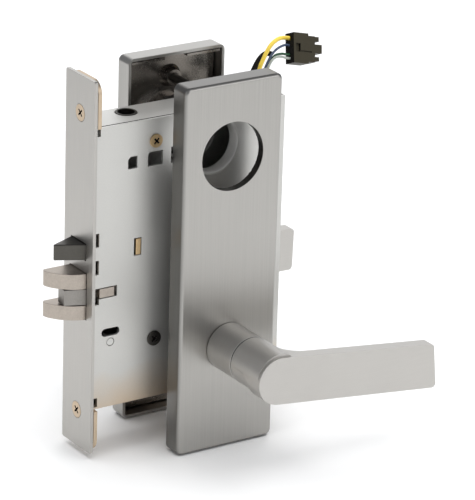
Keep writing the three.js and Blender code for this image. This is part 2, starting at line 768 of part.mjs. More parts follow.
// Through-bolts run above and below the case, from a head on the inside plate's face to a post
// on the outside plate.
const boltTop = plateFront + clearance + boltHead.height;
const postFar = plateFront - plate.face - clearance;
for (const [name, z] of [["upper", boltHeights[0]], ["lower", boltHeights[1]]]) {
  const bolt = screw({
    headRadius: boltHead.radius,
    headThickness: boltHead.height,
    flat: false,
    shankRadius: throughBolt.radius,
    length: boltTop + throughBolt.end,
    cross: 1.1,
  });
  bolt.rotateX(Math.PI).translate(backset, boltTop, z);
  add(`${name}_through_bolt`, "dark_steel", bolt);
  add(
    `${name}_mount_post`,
    "bright_steel",
    tubeY(mountPost.radius, throughBolt.radius + clearance, -postFar, -mountPost.end, backset, z),
  );
}

// ---------------------------------------------------------------- wires and connector
function wireGrommet() {
  const { x, y, bore, radius, flange, flangeTop } = wireExit;
  const { top, wall } = caseBox;
  return cut(
    join(rodZ(radius, top - wall - 1.5, top + 0.5, x, y), rodZ(flange, top + 0.2, flangeTop, x, y)),
    rodZ(bore, top - 10, top + 10, x, y),
  );
}

// The connector's own axes: mating direction, depth and height.
const connector = { shoulder: 9.5, length: 13.7, prong: 16.3, middle: 18.2, depth: 7.4, height: 16 };
const mating = new THREE.Vector3(0.973, 0, -0.23).normalize();
const upward = new THREE.Vector3(0.21, 0.4, 0.895);
upward.addScaledVector(mating, -upward.dot(mating)).normalize();
const depthAxis = new THREE.Vector3().crossVectors(upward, mating);
const connectorFrame = new THREE.Matrix4().makeBasis(mating, depthAxis, upward);
connectorFrame.setPosition(126.9, 1.1, 96.2);

function connectorHousing() {
  const { shoulder, length, prong, middle } = connector;
  const d = connector.depth / 2;
  const h = connector.height / 2;
  const root = length - 1;
  const body = join(
    box(0, shoulder, -d, d, -h, h),
    box(shoulder - 1, length, -d, d, -h + 1, h - 1.2),
    box(root, prong, -d, d, h - 3.9, h - 1.4),
    box(root, middle, -d, d, -2, 2.6),
    box(root, prong, -d, d, -h + 1.8, -h + 4),
  );
  const recess = join(
    box(1.2, 4.3, -d - 1, -d + 1.4, -2, 2.4),
    box(4, 11.5, -d - 1, -d + 0.7, -2, -1.3),
  );
  return cut(body, recess).applyMatrix4(connectorFrame);
}

// Each wire starts inside the case, at a place in the grommet's bore given from the bore's axis,
// and passes its bends. The thin ones end at the rear of the connector, at a place given along its
// depth and height; the black sleeve ends free beside them.
const wires = {
  wire_yellow: {
    radius: 1.1,
    start: [0.6, -2.1],
    bends: [[106.1, -0.6, 82.0], [106.0, -1.6, 86.0], [106.9, -2.0, 90.6], [108.5, -2.0, 93.8],
      [110.8, -1.8, 97.7], [113.9, -1.4, 101.1], [118.1, -0.8, 103.0]],
    port: [0.3, 5.3],
  },
  wire_blue: {
    radius: 0.65,
    start: [1.3, 0.3],
    bends: [[109.2, 1.2, 82.0], [111.2, 0.6, 87.2], [113.7, 0.5, 92.1], [115.9, 0.5, 95.2],
      [118.5, 0.6, 97.1], [121.6, 0.8, 98.2]],
    port: [0.4, 1.6],
  },
  wire_green: {
    radius: 0.65,
    start: [1.9, 1.9],
    bends: [[110.4, 2.9, 82.0], [113.4, 2.2, 86.3], [116.3, 1.9, 91.4], [118.3, 1.8, 93.3],
      [122.0, 1.6, 93.7]],
    port: [0.4, -3.4],
  },
  wire_white: {
    radius: 0.65,
    start: [2.5, -1.2],
    bends: [[109.6, -0.6, 82.6], [112.2, -1.0, 88.1], [114.0, -0.9, 91.1], [116.2, -0.7, 92.9],
      [119.2, -0.5, 93.2], [122.3, -0.2, 92.3]],
    port: [0, -5.4],
  },
  wire_black: {
    radius: 1.5,
    start: [-1.6, 0.9],
    bends: [[104.2, 3.2, 82.0], [105.7, 3.0, 86.0], [107.4, 3.0, 89.2], [109.3, 3.0, 92.0],
      [111.9, 3.0, 94.2], [114.6, 3.0, 94.7], [116.6, 3.0, 93.9]],
  },
};

function wireGeometry({ radius, start, bends, port }) {
  const { x, y, flangeTop, wireStart } = wireExit;
  const atPort = (gap) => new THREE.Vector3(-gap, ...port).applyMatrix4(connectorFrame);
  const rise = [wireStart, wireStart + 3, caseBox.top - 2, flangeTop];
  const path = new THREE.CatmullRomCurve3([
    ...rise.map((z) => new THREE.Vector3(x + start[0], y + start[1], z)),
    ...bends.map((p) => new THREE.Vector3(...p)),
    ...(port ? [atPort(2), atPort(clearance)] : []),
  ], false, "centripetal");
  return new THREE.ExtrudeGeometry(polygonCircle(radius, 8), {
    steps: Math.round(path.getLength() / (radius * 2)),
    bevelEnabled: false,
    extrudePath: path,
  });
}

add("wire_grommet", "black_rubber", wireGrommet());
for (const [name, wire] of Object.entries(wires)) {
  const slot = name === "wire_black" ? "black_rubber" : name;
  add(name, slot, wireGeometry(wire));
}
add("connector_housing", "connector_nylon", connectorHousing());

export default lock;
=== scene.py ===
"""Looks of an electrified mortise lock set: brushed trims, plated case, latches, wires and stage."""

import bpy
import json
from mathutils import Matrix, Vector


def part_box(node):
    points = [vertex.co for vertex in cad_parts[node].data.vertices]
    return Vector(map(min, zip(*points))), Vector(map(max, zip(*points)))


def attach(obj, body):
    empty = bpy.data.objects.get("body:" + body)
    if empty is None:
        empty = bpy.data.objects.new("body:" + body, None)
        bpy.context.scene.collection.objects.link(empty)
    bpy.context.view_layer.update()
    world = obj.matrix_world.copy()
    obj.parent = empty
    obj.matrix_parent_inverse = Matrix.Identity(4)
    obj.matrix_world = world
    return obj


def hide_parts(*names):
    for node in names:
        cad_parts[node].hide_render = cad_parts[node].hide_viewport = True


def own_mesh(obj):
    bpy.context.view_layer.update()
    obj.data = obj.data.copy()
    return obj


bl_info = {
    "name": "Electrified mortise lock set",
    "version": (1, 0, 0),
    "blender": (4, 5, 0),
    "location": "View3D > Sidebar > Lock",
    "description": "Builds the finished pieces of a mortise lock set around its packed frame",
    "category": "Object",
}

import json
import math

import bmesh
import bpy
from bpy.props import FloatProperty, FloatVectorProperty, PointerProperty
from bpy.types import Operator, Panel, PropertyGroup
from mathutils import Euler, Matrix, Vector

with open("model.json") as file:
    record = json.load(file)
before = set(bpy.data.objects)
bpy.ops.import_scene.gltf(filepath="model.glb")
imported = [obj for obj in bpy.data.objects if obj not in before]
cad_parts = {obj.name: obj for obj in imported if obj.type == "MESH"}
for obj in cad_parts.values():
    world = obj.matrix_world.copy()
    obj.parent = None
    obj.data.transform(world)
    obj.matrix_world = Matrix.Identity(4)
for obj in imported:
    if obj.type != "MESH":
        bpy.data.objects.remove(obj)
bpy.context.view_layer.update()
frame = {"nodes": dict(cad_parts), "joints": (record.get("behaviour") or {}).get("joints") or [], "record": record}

MM = 0.001
AXES = {"X": 0, "Y": 1, "Z": 2}
FLOAT, VECTOR = "NodeSocketFloat", "NodeSocketVector"
COLOUR, MATERIAL = "NodeSocketColor", "NodeSocketMaterial"

NODE_BODY = {
    node: body
    for body, nodes in frame["record"]["behaviour"]["bodies"].items()
    for node in nodes
}
NODE_SLOT = {s["node"]: s["material_slot"] for s in frame["record"]["subparts"]}
HANDLE_AXIS = next(
    Vector(j["pos_m"]) for j in frame["joints"] if j["name"] == "outside_lever_turn"
)


def node_middle(node):
    low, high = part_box(node)
    return (low + high) / 2


# ---------------------------------------------------------------- sizes and colours


def length(name, description, default):
    return FloatProperty(name=name, description=description, default=default, unit="LENGTH")


def angle(name, description, degrees):
    default = math.radians(degrees)
    return FloatProperty(name=name, description=description, default=default, subtype="ANGLE")


def colour(name, description, default):
    return FloatVectorProperty(
        name=name, description=description, default=default, min=0.0, max=1.0, subtype="COLOR"
    )


class LockSizes(PropertyGroup):
    """Edge roundings and small forms that the frame leaves plain."""

    sheet_edge: length("Sheet edge", "Rounding of cut sheet metal", 0.12 * MM)
    machined_edge: length("Machined edge", "Rounding of machined pieces", 0.3 * MM)
    latch_edge: length("Latch edge", "Rounding of the latches", 0.6 * MM)
    plate_edge: length("Escutcheon edge", "Rounding of the escutcheon's front", 1.8 * MM)
    plate_corner: length("Escutcheon corner", "Rounding of its outline", 3.4 * MM)
    plate_wall: length("Escutcheon wall", "Thickness of its walls", 1.8 * MM)
    plate_face: length("Escutcheon face", "Thickness of its face", 2.0 * MM)
    hole_radius: length("Cylinder hole", "Radius of the hole in the outside plate", 18.4 * MM)
    hole_lip: length("Hole lip", "Wall of the rolled lip around that hole", 1.8 * MM)
    hole_depth: length("Hole depth", "Depth of that lip from the face", 4.6 * MM)
    neck_radius: length("Neck radius", "Radius of the lever's neck", 12.8 * MM)
    neck_bore: length("Neck bore", "Radius of the bore in the neck collar", 9.5 * MM)
    seam_width: length("Case seam width", "Width of the seam beside the cover", 0.6 * MM)
    seam_depth: length("Case seam depth", "Depth of the seam beside the cover", 0.8 * MM)
    seam_groove: length("Seam groove", "Width of the groove at the lever's seam", 0.35 * MM)
    lever_height: length("Lever height", "Height of the blade at the neck", 25.4 * MM)
    tip_height: length("Tip height", "Height of the blade at its tip", 24.6 * MM)
    lever_thickness: length("Lever thickness", "Thickness of the blade", 7.2 * MM)
    lever_edge: length("Lever edge", "Rounding along the blade", 1.3 * MM)
    lever_bore: length("Lever bore", "Radius of the spindle's bore in the neck", 6.2 * MM)
    lever_bore_depth: length("Lever bore depth", "Depth of that bore", 10.7 * MM)
    lever_fillet: length("Lever fillet", "Sweep from the neck into the blade", 8.0 * MM)


class LockColours(PropertyGroup):
    """Base colours of the finishes."""

    front: colour("Front", "Satin armour front", (0.475, 0.46, 0.435))
    trim: colour("Trim", "Satin escutcheons", (0.40, 0.39, 0.37))
    lever: colour("Lever", "Satin levers", (0.50, 0.485, 0.46))
    sheet: colour("Case", "Plated case steel", (0.60, 0.595, 0.57))
    warm: colour("Warm case", "Tint low on the case", (0.60, 0.49, 0.37))
    tray: colour("Tray", "Dull steel inside the escutcheons", (0.24, 0.22, 0.20))
    zinc: colour("Zinc", "Warm zinc plating", (0.58, 0.465, 0.34))
    tongue: colour("Tongue", "Grey steel of the latch's tongue", (0.29, 0.275, 0.255))
    latch: colour("Latch", "Latch steel", (0.45, 0.40, 0.35))
    dark: colour("Dark steel", "Oxidised steel", (0.10, 0.095, 0.085))
    brass: colour("Brass", "Plain brass", (0.62, 0.45, 0.25))
    bright: colour("Bright steel", "Nickel plate", (0.74, 0.73, 0.71))
    rubber: colour("Rubber", "Black rubber", (0.008, 0.007, 0.006))
    nylon: colour("Connector", "Dark moulded nylon", (0.040, 0.034, 0.020))
    coil: colour("Coil", "Wrapped coil", (0.02, 0.018, 0.016))
    yellow: colour("Yellow wire", "Insulation", (0.88, 0.64, 0.08))
    blue: colour("Blue wire", "Insulation", (0.075, 0.105, 0.18))
    green: colour("Green wire", "Insulation", (0.03, 0.10, 0.05))
    white: colour("White wire", "Insulation", (0.42, 0.46, 0.42))


class LockStage(PropertyGroup):
    """Camera, floor and lights."""

    camera_place: FloatVectorProperty(
        name="Camera place",
        description="Where the camera stands",
        default=(-0.84193, -1.41895, 0.64666),
        size=3,
        subtype="TRANSLATION",
    )
    azimuth: angle("Azimuth", "Turn of the view from +Y towards +X", 33.505)
    elevation: angle("Elevation", "How far the view looks down", 21.122)
    roll: angle("Roll", "Turn of the camera about its view", 1.767)
    lens: FloatProperty(
        name="Lens", description="Focal length in millimetres", default=249.1, subtype="NONE"
    )
    floor_z: length("Floor height", "Height of the floor", -0.1052)


# ---------------------------------------------------------------- shader helpers


def link(tree, source, target):
    tree.links.new(source, target)


def new_node(tree, kind, **settings):
    made = tree.nodes.new(kind)
    for key, value in settings.items():
        setattr(made, key, value)
    return made


def math_node(tree, operation, a, b):
    made = new_node(tree, "ShaderNodeMath", operation=operation)
    for socket, value in zip(made.inputs, (a, b)):
        if hasattr(value, "is_linked"):
            link(tree, value, socket)
        else:
            socket.default_value = value
    return made.outputs[0]


def noise(tree, vector, scale, detail):
    made = new_node(tree, "ShaderNodeTexNoise")
    made.inputs["Scale"].default_value = scale
    made.inputs["Detail"].default_value = detail
    link(tree, vector, made.inputs["Vector"])
    return made.outputs["Fac"]


def surface_group():
    """Grain and mottling of a worn surface: colour, roughness and height that vary over it, with painted shade on
    the faces square to Y.
    """
    name = "worn_surface"
    if name in bpy.data.node_groups:
        return bpy.data.node_groups[name]
    tree = bpy.data.node_groups.new(name, "ShaderNodeTree")
    add = tree.interface.new_socket
    for label, kind, default in (
        ("Grain Place", VECTOR, None),
        ("Place", VECTOR, None),
        ("Facing", VECTOR, None),
        ("Base Colour", COLOUR, (0.5, 0.5, 0.5, 1.0)),
        # the side value darkens faces square to Y as painted shade
        ("Painted Side Shade", FLOAT, 1.0),
        ("Warm Colour", COLOUR, (0.5, 0.5, 0.5, 1.0)),
        ("Warm Height", FLOAT, -1.0),
        ("Warm Reach", FLOAT, 0.02),
        ("Tone Spread", FLOAT, 0.1),
        ("Mottle Scale", FLOAT, 60.0),
        ("Mottle Spread", FLOAT, 0.1),
        ("Base Roughness", FLOAT, 0.35),
        ("Roughness Spread", FLOAT, 0.08),
    ):
        socket = add(name=label, in_out="INPUT", socket_type=kind)
        if default is not None:
            socket.default_value = default
    for label, kind in (("Colour", COLOUR), ("Roughness", FLOAT), ("Height", FLOAT)):
        add(name=label, in_out="OUTPUT", socket_type=kind)
    given = new_node(tree, "NodeGroupInput").outputs
    result = new_node(tree, "NodeGroupOutput").inputs

    grain = noise(tree, given["Grain Place"], 1.0, 4.0)
    mottle = new_node(tree, "ShaderNodeTexNoise")
    mottle.inputs["Detail"].default_value = 5.0
    link(tree, given["Place"], mottle.inputs["Vector"])
    link(tree, given["Mottle Scale"], mottle.inputs["Scale"])

    from_grain = math_node(tree, "SUBTRACT", grain, 0.5)
    from_mottle = math_node(tree, "SUBTRACT", mottle.outputs["Fac"], 0.5)
    streak = math_node(tree, "MULTIPLY", from_grain, given["Tone Spread"])
    patch = math_node(tree, "MULTIPLY", from_mottle, given["Mottle Spread"])
    tone = math_node(tree, "ADD", math_node(tree, "ADD", streak, patch), 1.0)
    # the tone also takes the painted side shade, darkening faces square to Y
    tone = math_node(tree, "MULTIPLY", tone, painted_side_shade(tree, given))
    shade = new_node(tree, "ShaderNodeVectorMath", operation="SCALE")
    link(tree, warmed_colour(tree, given, mottle.outputs["Fac"]), shade.inputs[0])
    link(tree, tone, shade.inputs["Scale"])
    link(tree, shade.outputs[0], result["Colour"])

    both = math_node(tree, "ADD", from_grain, from_mottle)
    change = math_node(tree, "MULTIPLY", both, given["Roughness Spread"])
    link(tree, math_node(tree, "ADD", given["Base Roughness"], change), result["Roughness"])
    link(tree, grain, result["Height"])
    return tree


def part_of(tree, vector, axis):
    parts = new_node(tree, "ShaderNodeSeparateXYZ")
    link(tree, vector, parts.inputs["Vector"])
    return parts.outputs[axis]


def painted_side_shade(tree, given):
    """Painted shade on the sides: one on faces towards +Y or -Y, falling to the group's side value on faces square
    to them.
    """
    front = math_node(tree, "ABSOLUTE", part_of(tree, given["Facing"], "Y"), 0.0)
    mask = math_node(tree, "POWER", front, 2.0)
    change = math_node(tree, "SUBTRACT", 1.0, given["Painted Side Shade"])
    return math_node(tree, "ADD", math_node(tree, "MULTIPLY", mask, change), given["Painted Side Shade"])


def warmed_colour(tree, given, mottle):
    """The base colour, turning into the warm one below the Warm Height, with a mottled border."""
    below = math_node(tree, "SUBTRACT", given["Warm Height"], part_of(tree, given["Place"], "Z"))
    depth = math_node(tree, "DIVIDE", below, given["Warm Reach"])
    mask = math_node(tree, "ADD", depth, math_node(tree, "SUBTRACT", mottle, 0.5))
    mixed = new_node(tree, "ShaderNodeMix", data_type="RGBA", clamp_factor=True)
    link(tree, mask, mixed.inputs["Factor"])
    link(tree, given["Base Colour"], mixed.inputs[6])
    link(tree, given["Warm Colour"], mixed.inputs[7])
    return mixed.outputs[2]


ISOTROPIC = (1200.0, 1200.0, 1200.0)
FINISHES = {}


def worn_material(
    name,
    base,
    roughness,
    metallic=1.0,
    grain=ISOTROPIC,
    tone=0.1,
    mottle=(60.0, 0.1),
    rough_spread=0.08,
    bump=0.004 * MM,
    anisotropic=0.0,
    tangent=None,
    coat=0.0,
    specular=0.5,
    # side: tone of the faces square to Y; below one it is a painted side shade
    side=1.0,
    warm=None,
):
    """A material whose colour, roughness and relief come from the surface group, with painted shade on its sides
    when side is below one.
    """
    material = bpy.data.materials.new(name)
    FINISHES[name] = material
    material.use_nodes = True
    tree = material.node_tree
    shader = tree.nodes["Principled BSDF"]
    coordinates = new_node(tree, "ShaderNodeTexCoord")
    place = coordinates.outputs["Object"]
    along = new_node(tree, "ShaderNodeMapping")
    along.inputs["Scale"].default_value = grain
    link(tree, place, along.inputs["Vector"])
    surface = new_node(tree, "ShaderNodeGroup", node_tree=surface_group())
    values = {
        "Base Colour": (*base, 1.0),
        "Tone Spread": tone,
        "Mottle Scale": mottle[0],
        "Mottle Spread": mottle[1],
        "Base Roughness": roughness,
        "Roughness Spread": rough_spread,
        "Painted Side Shade": side,
    }
    if warm:
        values["Warm Colour"] = (*warm[0], 1.0)
        values["Warm Height"], values["Warm Reach"] = warm[1:]
    for label, value in values.items():
        surface.inputs[label].default_value = value
    link(tree, along.outputs["Vector"], surface.inputs["Grain Place"])
    link(tree, place, surface.inputs["Place"])
    link(tree, coordinates.outputs["Normal"], surface.inputs["Facing"])
    relief = new_node(tree, "ShaderNodeBump")
    relief.inputs["Strength"].default_value = 1.0
    relief.inputs["Distance"].default_value = bump
    link(tree, surface.outputs["Height"], relief.inputs["Height"])
    link(tree, surface.outputs["Colour"], shader.inputs["Base Color"])
    link(tree, surface.outputs["Roughness"], shader.inputs["Roughness"])
    link(tree, relief.outputs["Normal"], shader.inputs["Normal"])
    for label, value in (
        ("Metallic", metallic),
        ("Anisotropic", anisotropic),
        ("Coat Weight", coat),
        ("Specular IOR Level", specular),
    ):
        shader.inputs[label].default_value = value
    if tangent:
        turn = new_node(tree, "ShaderNodeTangent", direction_type="RADIAL", axis=tangent)
        link(tree, turn.outputs["Tangent"], shader.inputs["Tangent"])
    return material


def grain_along(axis, across=1500.0, along=28.0):
    scale = [across] * 3
    scale[AXES[axis]] = along
    return tuple(scale)


def metal_finishes(c):
    worn_material(
        "satin_front", c.front, 0.38, grain=grain_along("Z", 3200.0, 40.0), tone=0.22,
        mottle=(28.0, 0.14), bump=0.003 * MM, anisotropic=0.4, tangent="Y",
    )
    # The outside trim is a shaded copy of the inside one: side 0.45 darkens its faces square to Y as painted
    # shade.
    for name, side in (("satin_trim", 1.0), ("satin_trim_outside", 0.45)):
        worn_material(
            name, c.trim, 0.32, grain=grain_along("Z", 3600.0, 16.0), tone=0.26,
            mottle=(14.0, 0.18), bump=0.003 * MM, anisotropic=0.4, tangent="X", side=side,
        )
    worn_material(
        "lever_metal", c.lever, 0.42, metallic=0.85, grain=grain_along("X", 2600.0, 60.0),
        tone=0.1, mottle=(30.0, 0.14), bump=0.002 * MM,
    )
    worn_material(
        "neck_metal", c.lever, 0.4, metallic=0.9, grain=(60.0, 1800.0, 60.0), tone=0.16,
        mottle=(40.0, 0.1), bump=0.003 * MM, anisotropic=0.2, tangent="Y",
    )
    worn_material(
        "latch_steel", c.latch, 0.42, grain=ISOTROPIC, tone=0.35, mottle=(220.0, 0.3),
        bump=0.03 * MM,
    )
    worn_material(
        "tongue_steel", c.tongue, 0.4, tone=0.3, mottle=(220.0, 0.3), rough_spread=0.12,
        bump=0.02 * MM,
    )
    worn_material("brass", c.brass, 0.34, tone=0.14, mottle=(120.0, 0.2), bump=0.01 * MM)
    worn_material(
        "zinc_plate", c.zinc, 0.42, tone=0.14, mottle=(140.0, 0.25), rough_spread=0.12,
        bump=0.01 * MM,
    )


def steel_finishes(c):
    worn_material(
        "case_steel", c.sheet, 0.4, metallic=0.75, tone=0.10, mottle=(35.0, 0.12),
        rough_spread=0.12, bump=0.004 * MM, warm=(c.warm, -0.057, 0.022),
    )
    worn_material(
        "tray_steel", c.tray, 0.24, tone=0.18, mottle=(70.0, 0.35), rough_spread=0.2,
        bump=0.01 * MM,
    )
    worn_material(
        "dark_steel", c.dark, 0.38, tone=0.25, mottle=(120.0, 0.3), rough_spread=0.15,
        bump=0.02 * MM,
    )
    worn_material(
        "bright_steel", c.bright, 0.25, tone=0.1, mottle=(90.0, 0.12), bump=0.004 * MM
    )


def moulded_finishes(c):
    flat = dict(metallic=0.0, tone=0.12, mottle=(180.0, 0.12), bump=0.01 * MM)
    worn_material("coil_wrap", c.coil, 0.6, grain=(90.0, 90.0, 2500.0), **flat)
    worn_material("black_rubber", c.rubber, 0.5, specular=0.2, **flat)
    worn_material("connector_nylon", c.nylon, 0.5, specular=0.25, **flat)
    # Near-black rubber colour, painted as shade into screw recesses, seams, the collar groove and the connector's
    # rear face.
    worn_material("dark_recess", c.rubber, 0.7, specular=0.1, **flat)
    for shade in ("yellow", "blue", "green", "white"):
        worn_material(f"wire_{shade}", getattr(c, shade), 0.38, coat=0.15, **flat)


def finishes():
    """Every finish, made once, by the name of its material slot or of its own use."""
    if "satin_front" in FINISHES:
        return FINISHES
    c = bpy.context.scene.lock_colours
    metal_finishes(c)
    steel_finishes(c)
    moulded_finishes(c)
    return FINISHES


# ---------------------------------------------------------------- mesh helpers


def shown(name, mesh):
    obj = bpy.data.objects.new(name, mesh)
    bpy.context.scene.collection.objects.link(obj)
    return obj


def from_bmesh(name, built):
    mesh = bpy.data.meshes.new(name)
    built.to_mesh(mesh)
    built.free()
    return shown(name, mesh)


def bake_modifiers(obj):
    """Turns the modified object into a plain mesh and drops its modifiers."""
    graph = bpy.context.evaluated_depsgraph_get()
    graph.update()
    old = obj.data
    obj.data = bpy.data.meshes.new_from_object(obj.evaluated_get(graph))
    obj.modifiers.clear()
    bpy.data.meshes.remove(old)
    return obj


def boolean(obj, tool, operation):
    """Joins, cuts or meets obj with tool, which is used up."""
    made = obj.modifiers.new("shape", "BOOLEAN")
    made.operation = operation
    made.solver = "EXACT"
    made.object = tool
    bake_modifiers(obj)
    bpy.data.objects.remove(tool)
    return obj


def round_edges(obj, width, segments=3, angle=35.0):
    made = obj.modifiers.new("edges", "BEVEL")
    made.width = width
    made.segments = segments
    made.limit_method = "ANGLE"
    made.angle_limit = math.radians(angle)
    made.loop_slide = False
    return bake_modifiers(obj)


def tidy(obj, distance=0.002 * MM, flat=0.3):
    """Merges doubles, joins coplanar faces and points every face outwards."""
    built = bmesh.new()
    built.from_mesh(obj.data)
    bmesh.ops.remove_doubles(built, verts=built.verts, dist=distance)
    bmesh.ops.dissolve_limit(
        built, angle_limit=math.radians(flat), verts=built.verts, edges=built.edges
    )
    bmesh.ops.recalc_face_normals(built, faces=built.faces)
    built.to_mesh(obj.data)
    built.free()
    return obj


def smooth(obj, angle=32.0):
    """Smooth shading that keeps sharp edges and lets large faces stay flat."""
    obj.data.shade_smooth()
    obj.data.set_sharp_from_angle(angle=math.radians(angle))
    made = obj.modifiers.new("normals", "WEIGHTED_NORMAL")
    made.keep_sharp = True
    made.weight = 100
    return bake_modifiers(obj)


def settle(obj, nodes, finish=None):
    """The finished piece takes its nodes' place, body, slot and finish."""
    nodes = [nodes] if isinstance(nodes, str) else nodes
    slot = NODE_SLOT[nodes[0]]
    smooth(obj)
    obj.data.materials.clear()
    obj.data.materials.append(finishes()[finish or slot])
    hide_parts(*nodes)
    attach(obj, NODE_BODY[nodes[0]])
    return obj


def paint(obj, finish, test):
    """Gives a second material to the faces that pass the test; the script uses it only for painted shade."""
    obj.data.materials.append(finishes()[finish])
    for face in obj.data.polygons:
        if test(face):
            face.material_index = len(obj.data.materials) - 1


def finished_copy(node, width, finish=None, segments=2):
    """A node's own shape with rounded edges and its finish."""
    copy = shown(f"{node}_finished", frame["nodes"][node].data.copy())
    tidy(copy)
    if width:
        round_edges(copy, width, segments)
    return settle(copy, node, finish)


def block(name, low, high):
    built = bmesh.new()
    bmesh.ops.create_cube(built, size=1.0)
    size = [b - a for a, b in zip(low, high)]
    middle = [(a + b) / 2 for a, b in zip(low, high)]
    bmesh.ops.scale(built, vec=size, verts=built.verts)
    bmesh.ops.translate(built, vec=middle, verts=built.verts)
    return from_bmesh(name, built)


def prism_y(name, outline, y0, y1):
    """A solid with an outline of (x, z) points, from y0 to y1."""
    built = bmesh.new()
    near = [built.verts.new((x, y0, z)) for x, z in outline]
    far = [built.verts.new((x, y1, z)) for x, z in outline]
    built.faces.new(near)
    built.faces.new(far[::-1])
    count = len(outline)
    for i in range(count):
        j = (i + 1) % count
        built.faces.new((near[i], far[i], far[j], near[j]))
    bmesh.ops.recalc_face_normals(built, faces=built.faces)
    return from_bmesh(name, built)


def rounded_rectangle(low, high, corner):
    """An outline in X and Z with round corners, as (x, z) points."""
    left, right = low.x + corner, high.x - corner
    down, up = low.z + corner, high.z - corner
    points = []
    for centre, start in (((right, up), 0), ((left, up), 90), ((left, down), 180), ((right, down), 270)):
        points += arc(centre, corner, start, start + 90, 8)
    return points


def turned_y(name, profile, centre, segments=128, closed=True):
    """A turned solid about the Y axis through centre (x, z). The profile holds (radius, y)
    points and either closes on itself or starts and ends on the axis."""
    built = bmesh.new()
    rings = []
    for radius, y in profile:
        ring = []
        for i in range(segments):
            angle = 2 * math.pi * i / segments
            x = centre[0] + radius * math.cos(angle)
            z = centre[1] + radius * math.sin(angle)
            ring.append(built.verts.new((x, y, z)))
        rings.append(ring)
    pairs = list(zip(rings, rings[1:]))
    if closed:
        pairs.append((rings[-1], rings[0]))
    for a, b in pairs:
        for i in range(segments):
            j = (i + 1) % segments
            built.faces.new((a[i], b[i], b[j], a[j]))
    bmesh.ops.remove_doubles(built, verts=built.verts, dist=0.0001 * MM)
    bmesh.ops.dissolve_degenerate(built, edges=built.edges, dist=0.0001 * MM)
    bmesh.ops.recalc_face_normals(built, faces=built.faces)
    return from_bmesh(name, built)


def rod_y(name, radius, y0, y1, centre):
    """A plain cylinder along Y about centre (x, z)."""
    return turned_y(name, [(0, y0), (radius, y0), (radius, y1), (0, y1)], centre, closed=False)


def arc(centre, radius, start, end, steps):
    """Points of an arc in degrees about centre, both ends included."""
    points = []
    for i in range(steps + 1):
        angle = math.radians(start + (end - start) * i / steps)
        points.append(
            (centre[0] + radius * math.cos(angle), centre[1] + radius * math.sin(angle))
        )
    return points


# ---------------------------------------------------------------- geometry node trees


def tree_with_inputs(name, inputs):
    """A tree with the named inputs of each kind, and its given sockets."""
    tree = bpy.data.node_groups.new(name, "GeometryNodeTree")
    add = tree.interface.new_socket
    add(name="Geometry", in_out="OUTPUT", socket_type="NodeSocketGeometry")
    for kind, labels in inputs.items():
        for label in labels:
            add(name=label, in_out="INPUT", socket_type=kind)
    return tree, new_node(tree, "NodeGroupInput").outputs


def grown(name, tree, values):
    """A plain mesh object grown by a tree from the given input values."""
    obj = shown(name, bpy.data.meshes.new(name))
    modifier = obj.modifiers.new(tree.name, "NODES")
    modifier.node_group = tree
    for item in tree.interface.items_tree:
        if item.item_type == "SOCKET" and item.in_out == "INPUT":
            modifier[item.identifier] = values[item.name]
    return bake_modifiers(obj)


def screw_tree():
    """Screws in a row: a coned head with a cross recess, on a plain shank."""
    name = "screw_row"
    if name in bpy.data.node_groups:
        return bpy.data.node_groups[name]
    tree, given = tree_with_inputs(
        name,
        {
            FLOAT: ("Head Radius", "Under Radius", "Head Height", "Shank Radius", "Shank Length"),
            VECTOR: ("Recess Size", "Place", "Turn", "Spacing"),
            "NodeSocketInt": ("Count",),
            MATERIAL: ("Finish",),
        },
    )
    head = new_node(tree, "GeometryNodeMeshCone")
    head.inputs["Vertices"].default_value = 64
    link(tree, given["Head Radius"], head.inputs["Radius Bottom"])
    link(tree, given["Under Radius"], head.inputs["Radius Top"])
    link(tree, given["Head Height"], head.inputs["Depth"])
    shank = new_node(tree, "GeometryNodeMeshCylinder")
    shank.inputs["Vertices"].default_value = 48
    link(tree, given["Shank Radius"], shank.inputs["Radius"])
    link(tree, given["Shank Length"], shank.inputs["Depth"])
    middle = math_node(tree, "MULTIPLY", given["Shank Length"], 0.5)
    lift = new_node(tree, "ShaderNodeCombineXYZ")
    start = math_node(tree, "MULTIPLY", given["Head Height"], 0.5)
    link(tree, math_node(tree, "ADD", middle, start), lift.inputs["Z"])
    lowered = new_node(tree, "GeometryNodeTransform")
    link(tree, shank.outputs["Mesh"], lowered.inputs["Geometry"])
    link(tree, lift.outputs["Vector"], lowered.inputs["Translation"])
    whole = new_node(tree, "GeometryNodeMeshBoolean", operation="UNION", solver="EXACT")
    link(tree, head.outputs["Mesh"], whole.inputs["Mesh 2"])
    link(tree, lowered.outputs["Geometry"], whole.inputs["Mesh 2"])
    cross = new_node(tree, "GeometryNodeMeshBoolean", operation="DIFFERENCE", solver="EXACT")
    link(tree, whole.outputs["Mesh"], cross.inputs["Mesh 1"])
    for quarter in (0.0, math.pi / 2):
        arm = new_node(tree, "GeometryNodeMeshCube")
        link(tree, given["Recess Size"], arm.inputs["Size"])
        turned = new_node(tree, "GeometryNodeTransform")
        turned.inputs["Rotation"].default_value = (0.0, 0.0, quarter + math.pi / 4)
        link(tree, arm.outputs["Mesh"], turned.inputs["Geometry"])
        link(tree, turned.outputs["Geometry"], cross.inputs["Mesh 2"])
    row = new_node(tree, "GeometryNodeMeshLine")
    link(tree, given["Count"], row.inputs["Count"])
    link(tree, given["Place"], row.inputs["Start Location"])
    link(tree, given["Spacing"], row.inputs["Offset"])
    stand = new_node(tree, "GeometryNodeInstanceOnPoints")
    link(tree, row.outputs["Mesh"], stand.inputs["Points"])
    link(tree, cross.outputs["Mesh"], stand.inputs["Instance"])
    link(tree, given["Turn"], stand.inputs["Rotation"])
    return end_tree(tree, stand.outputs["Instances"], given["Finish"])


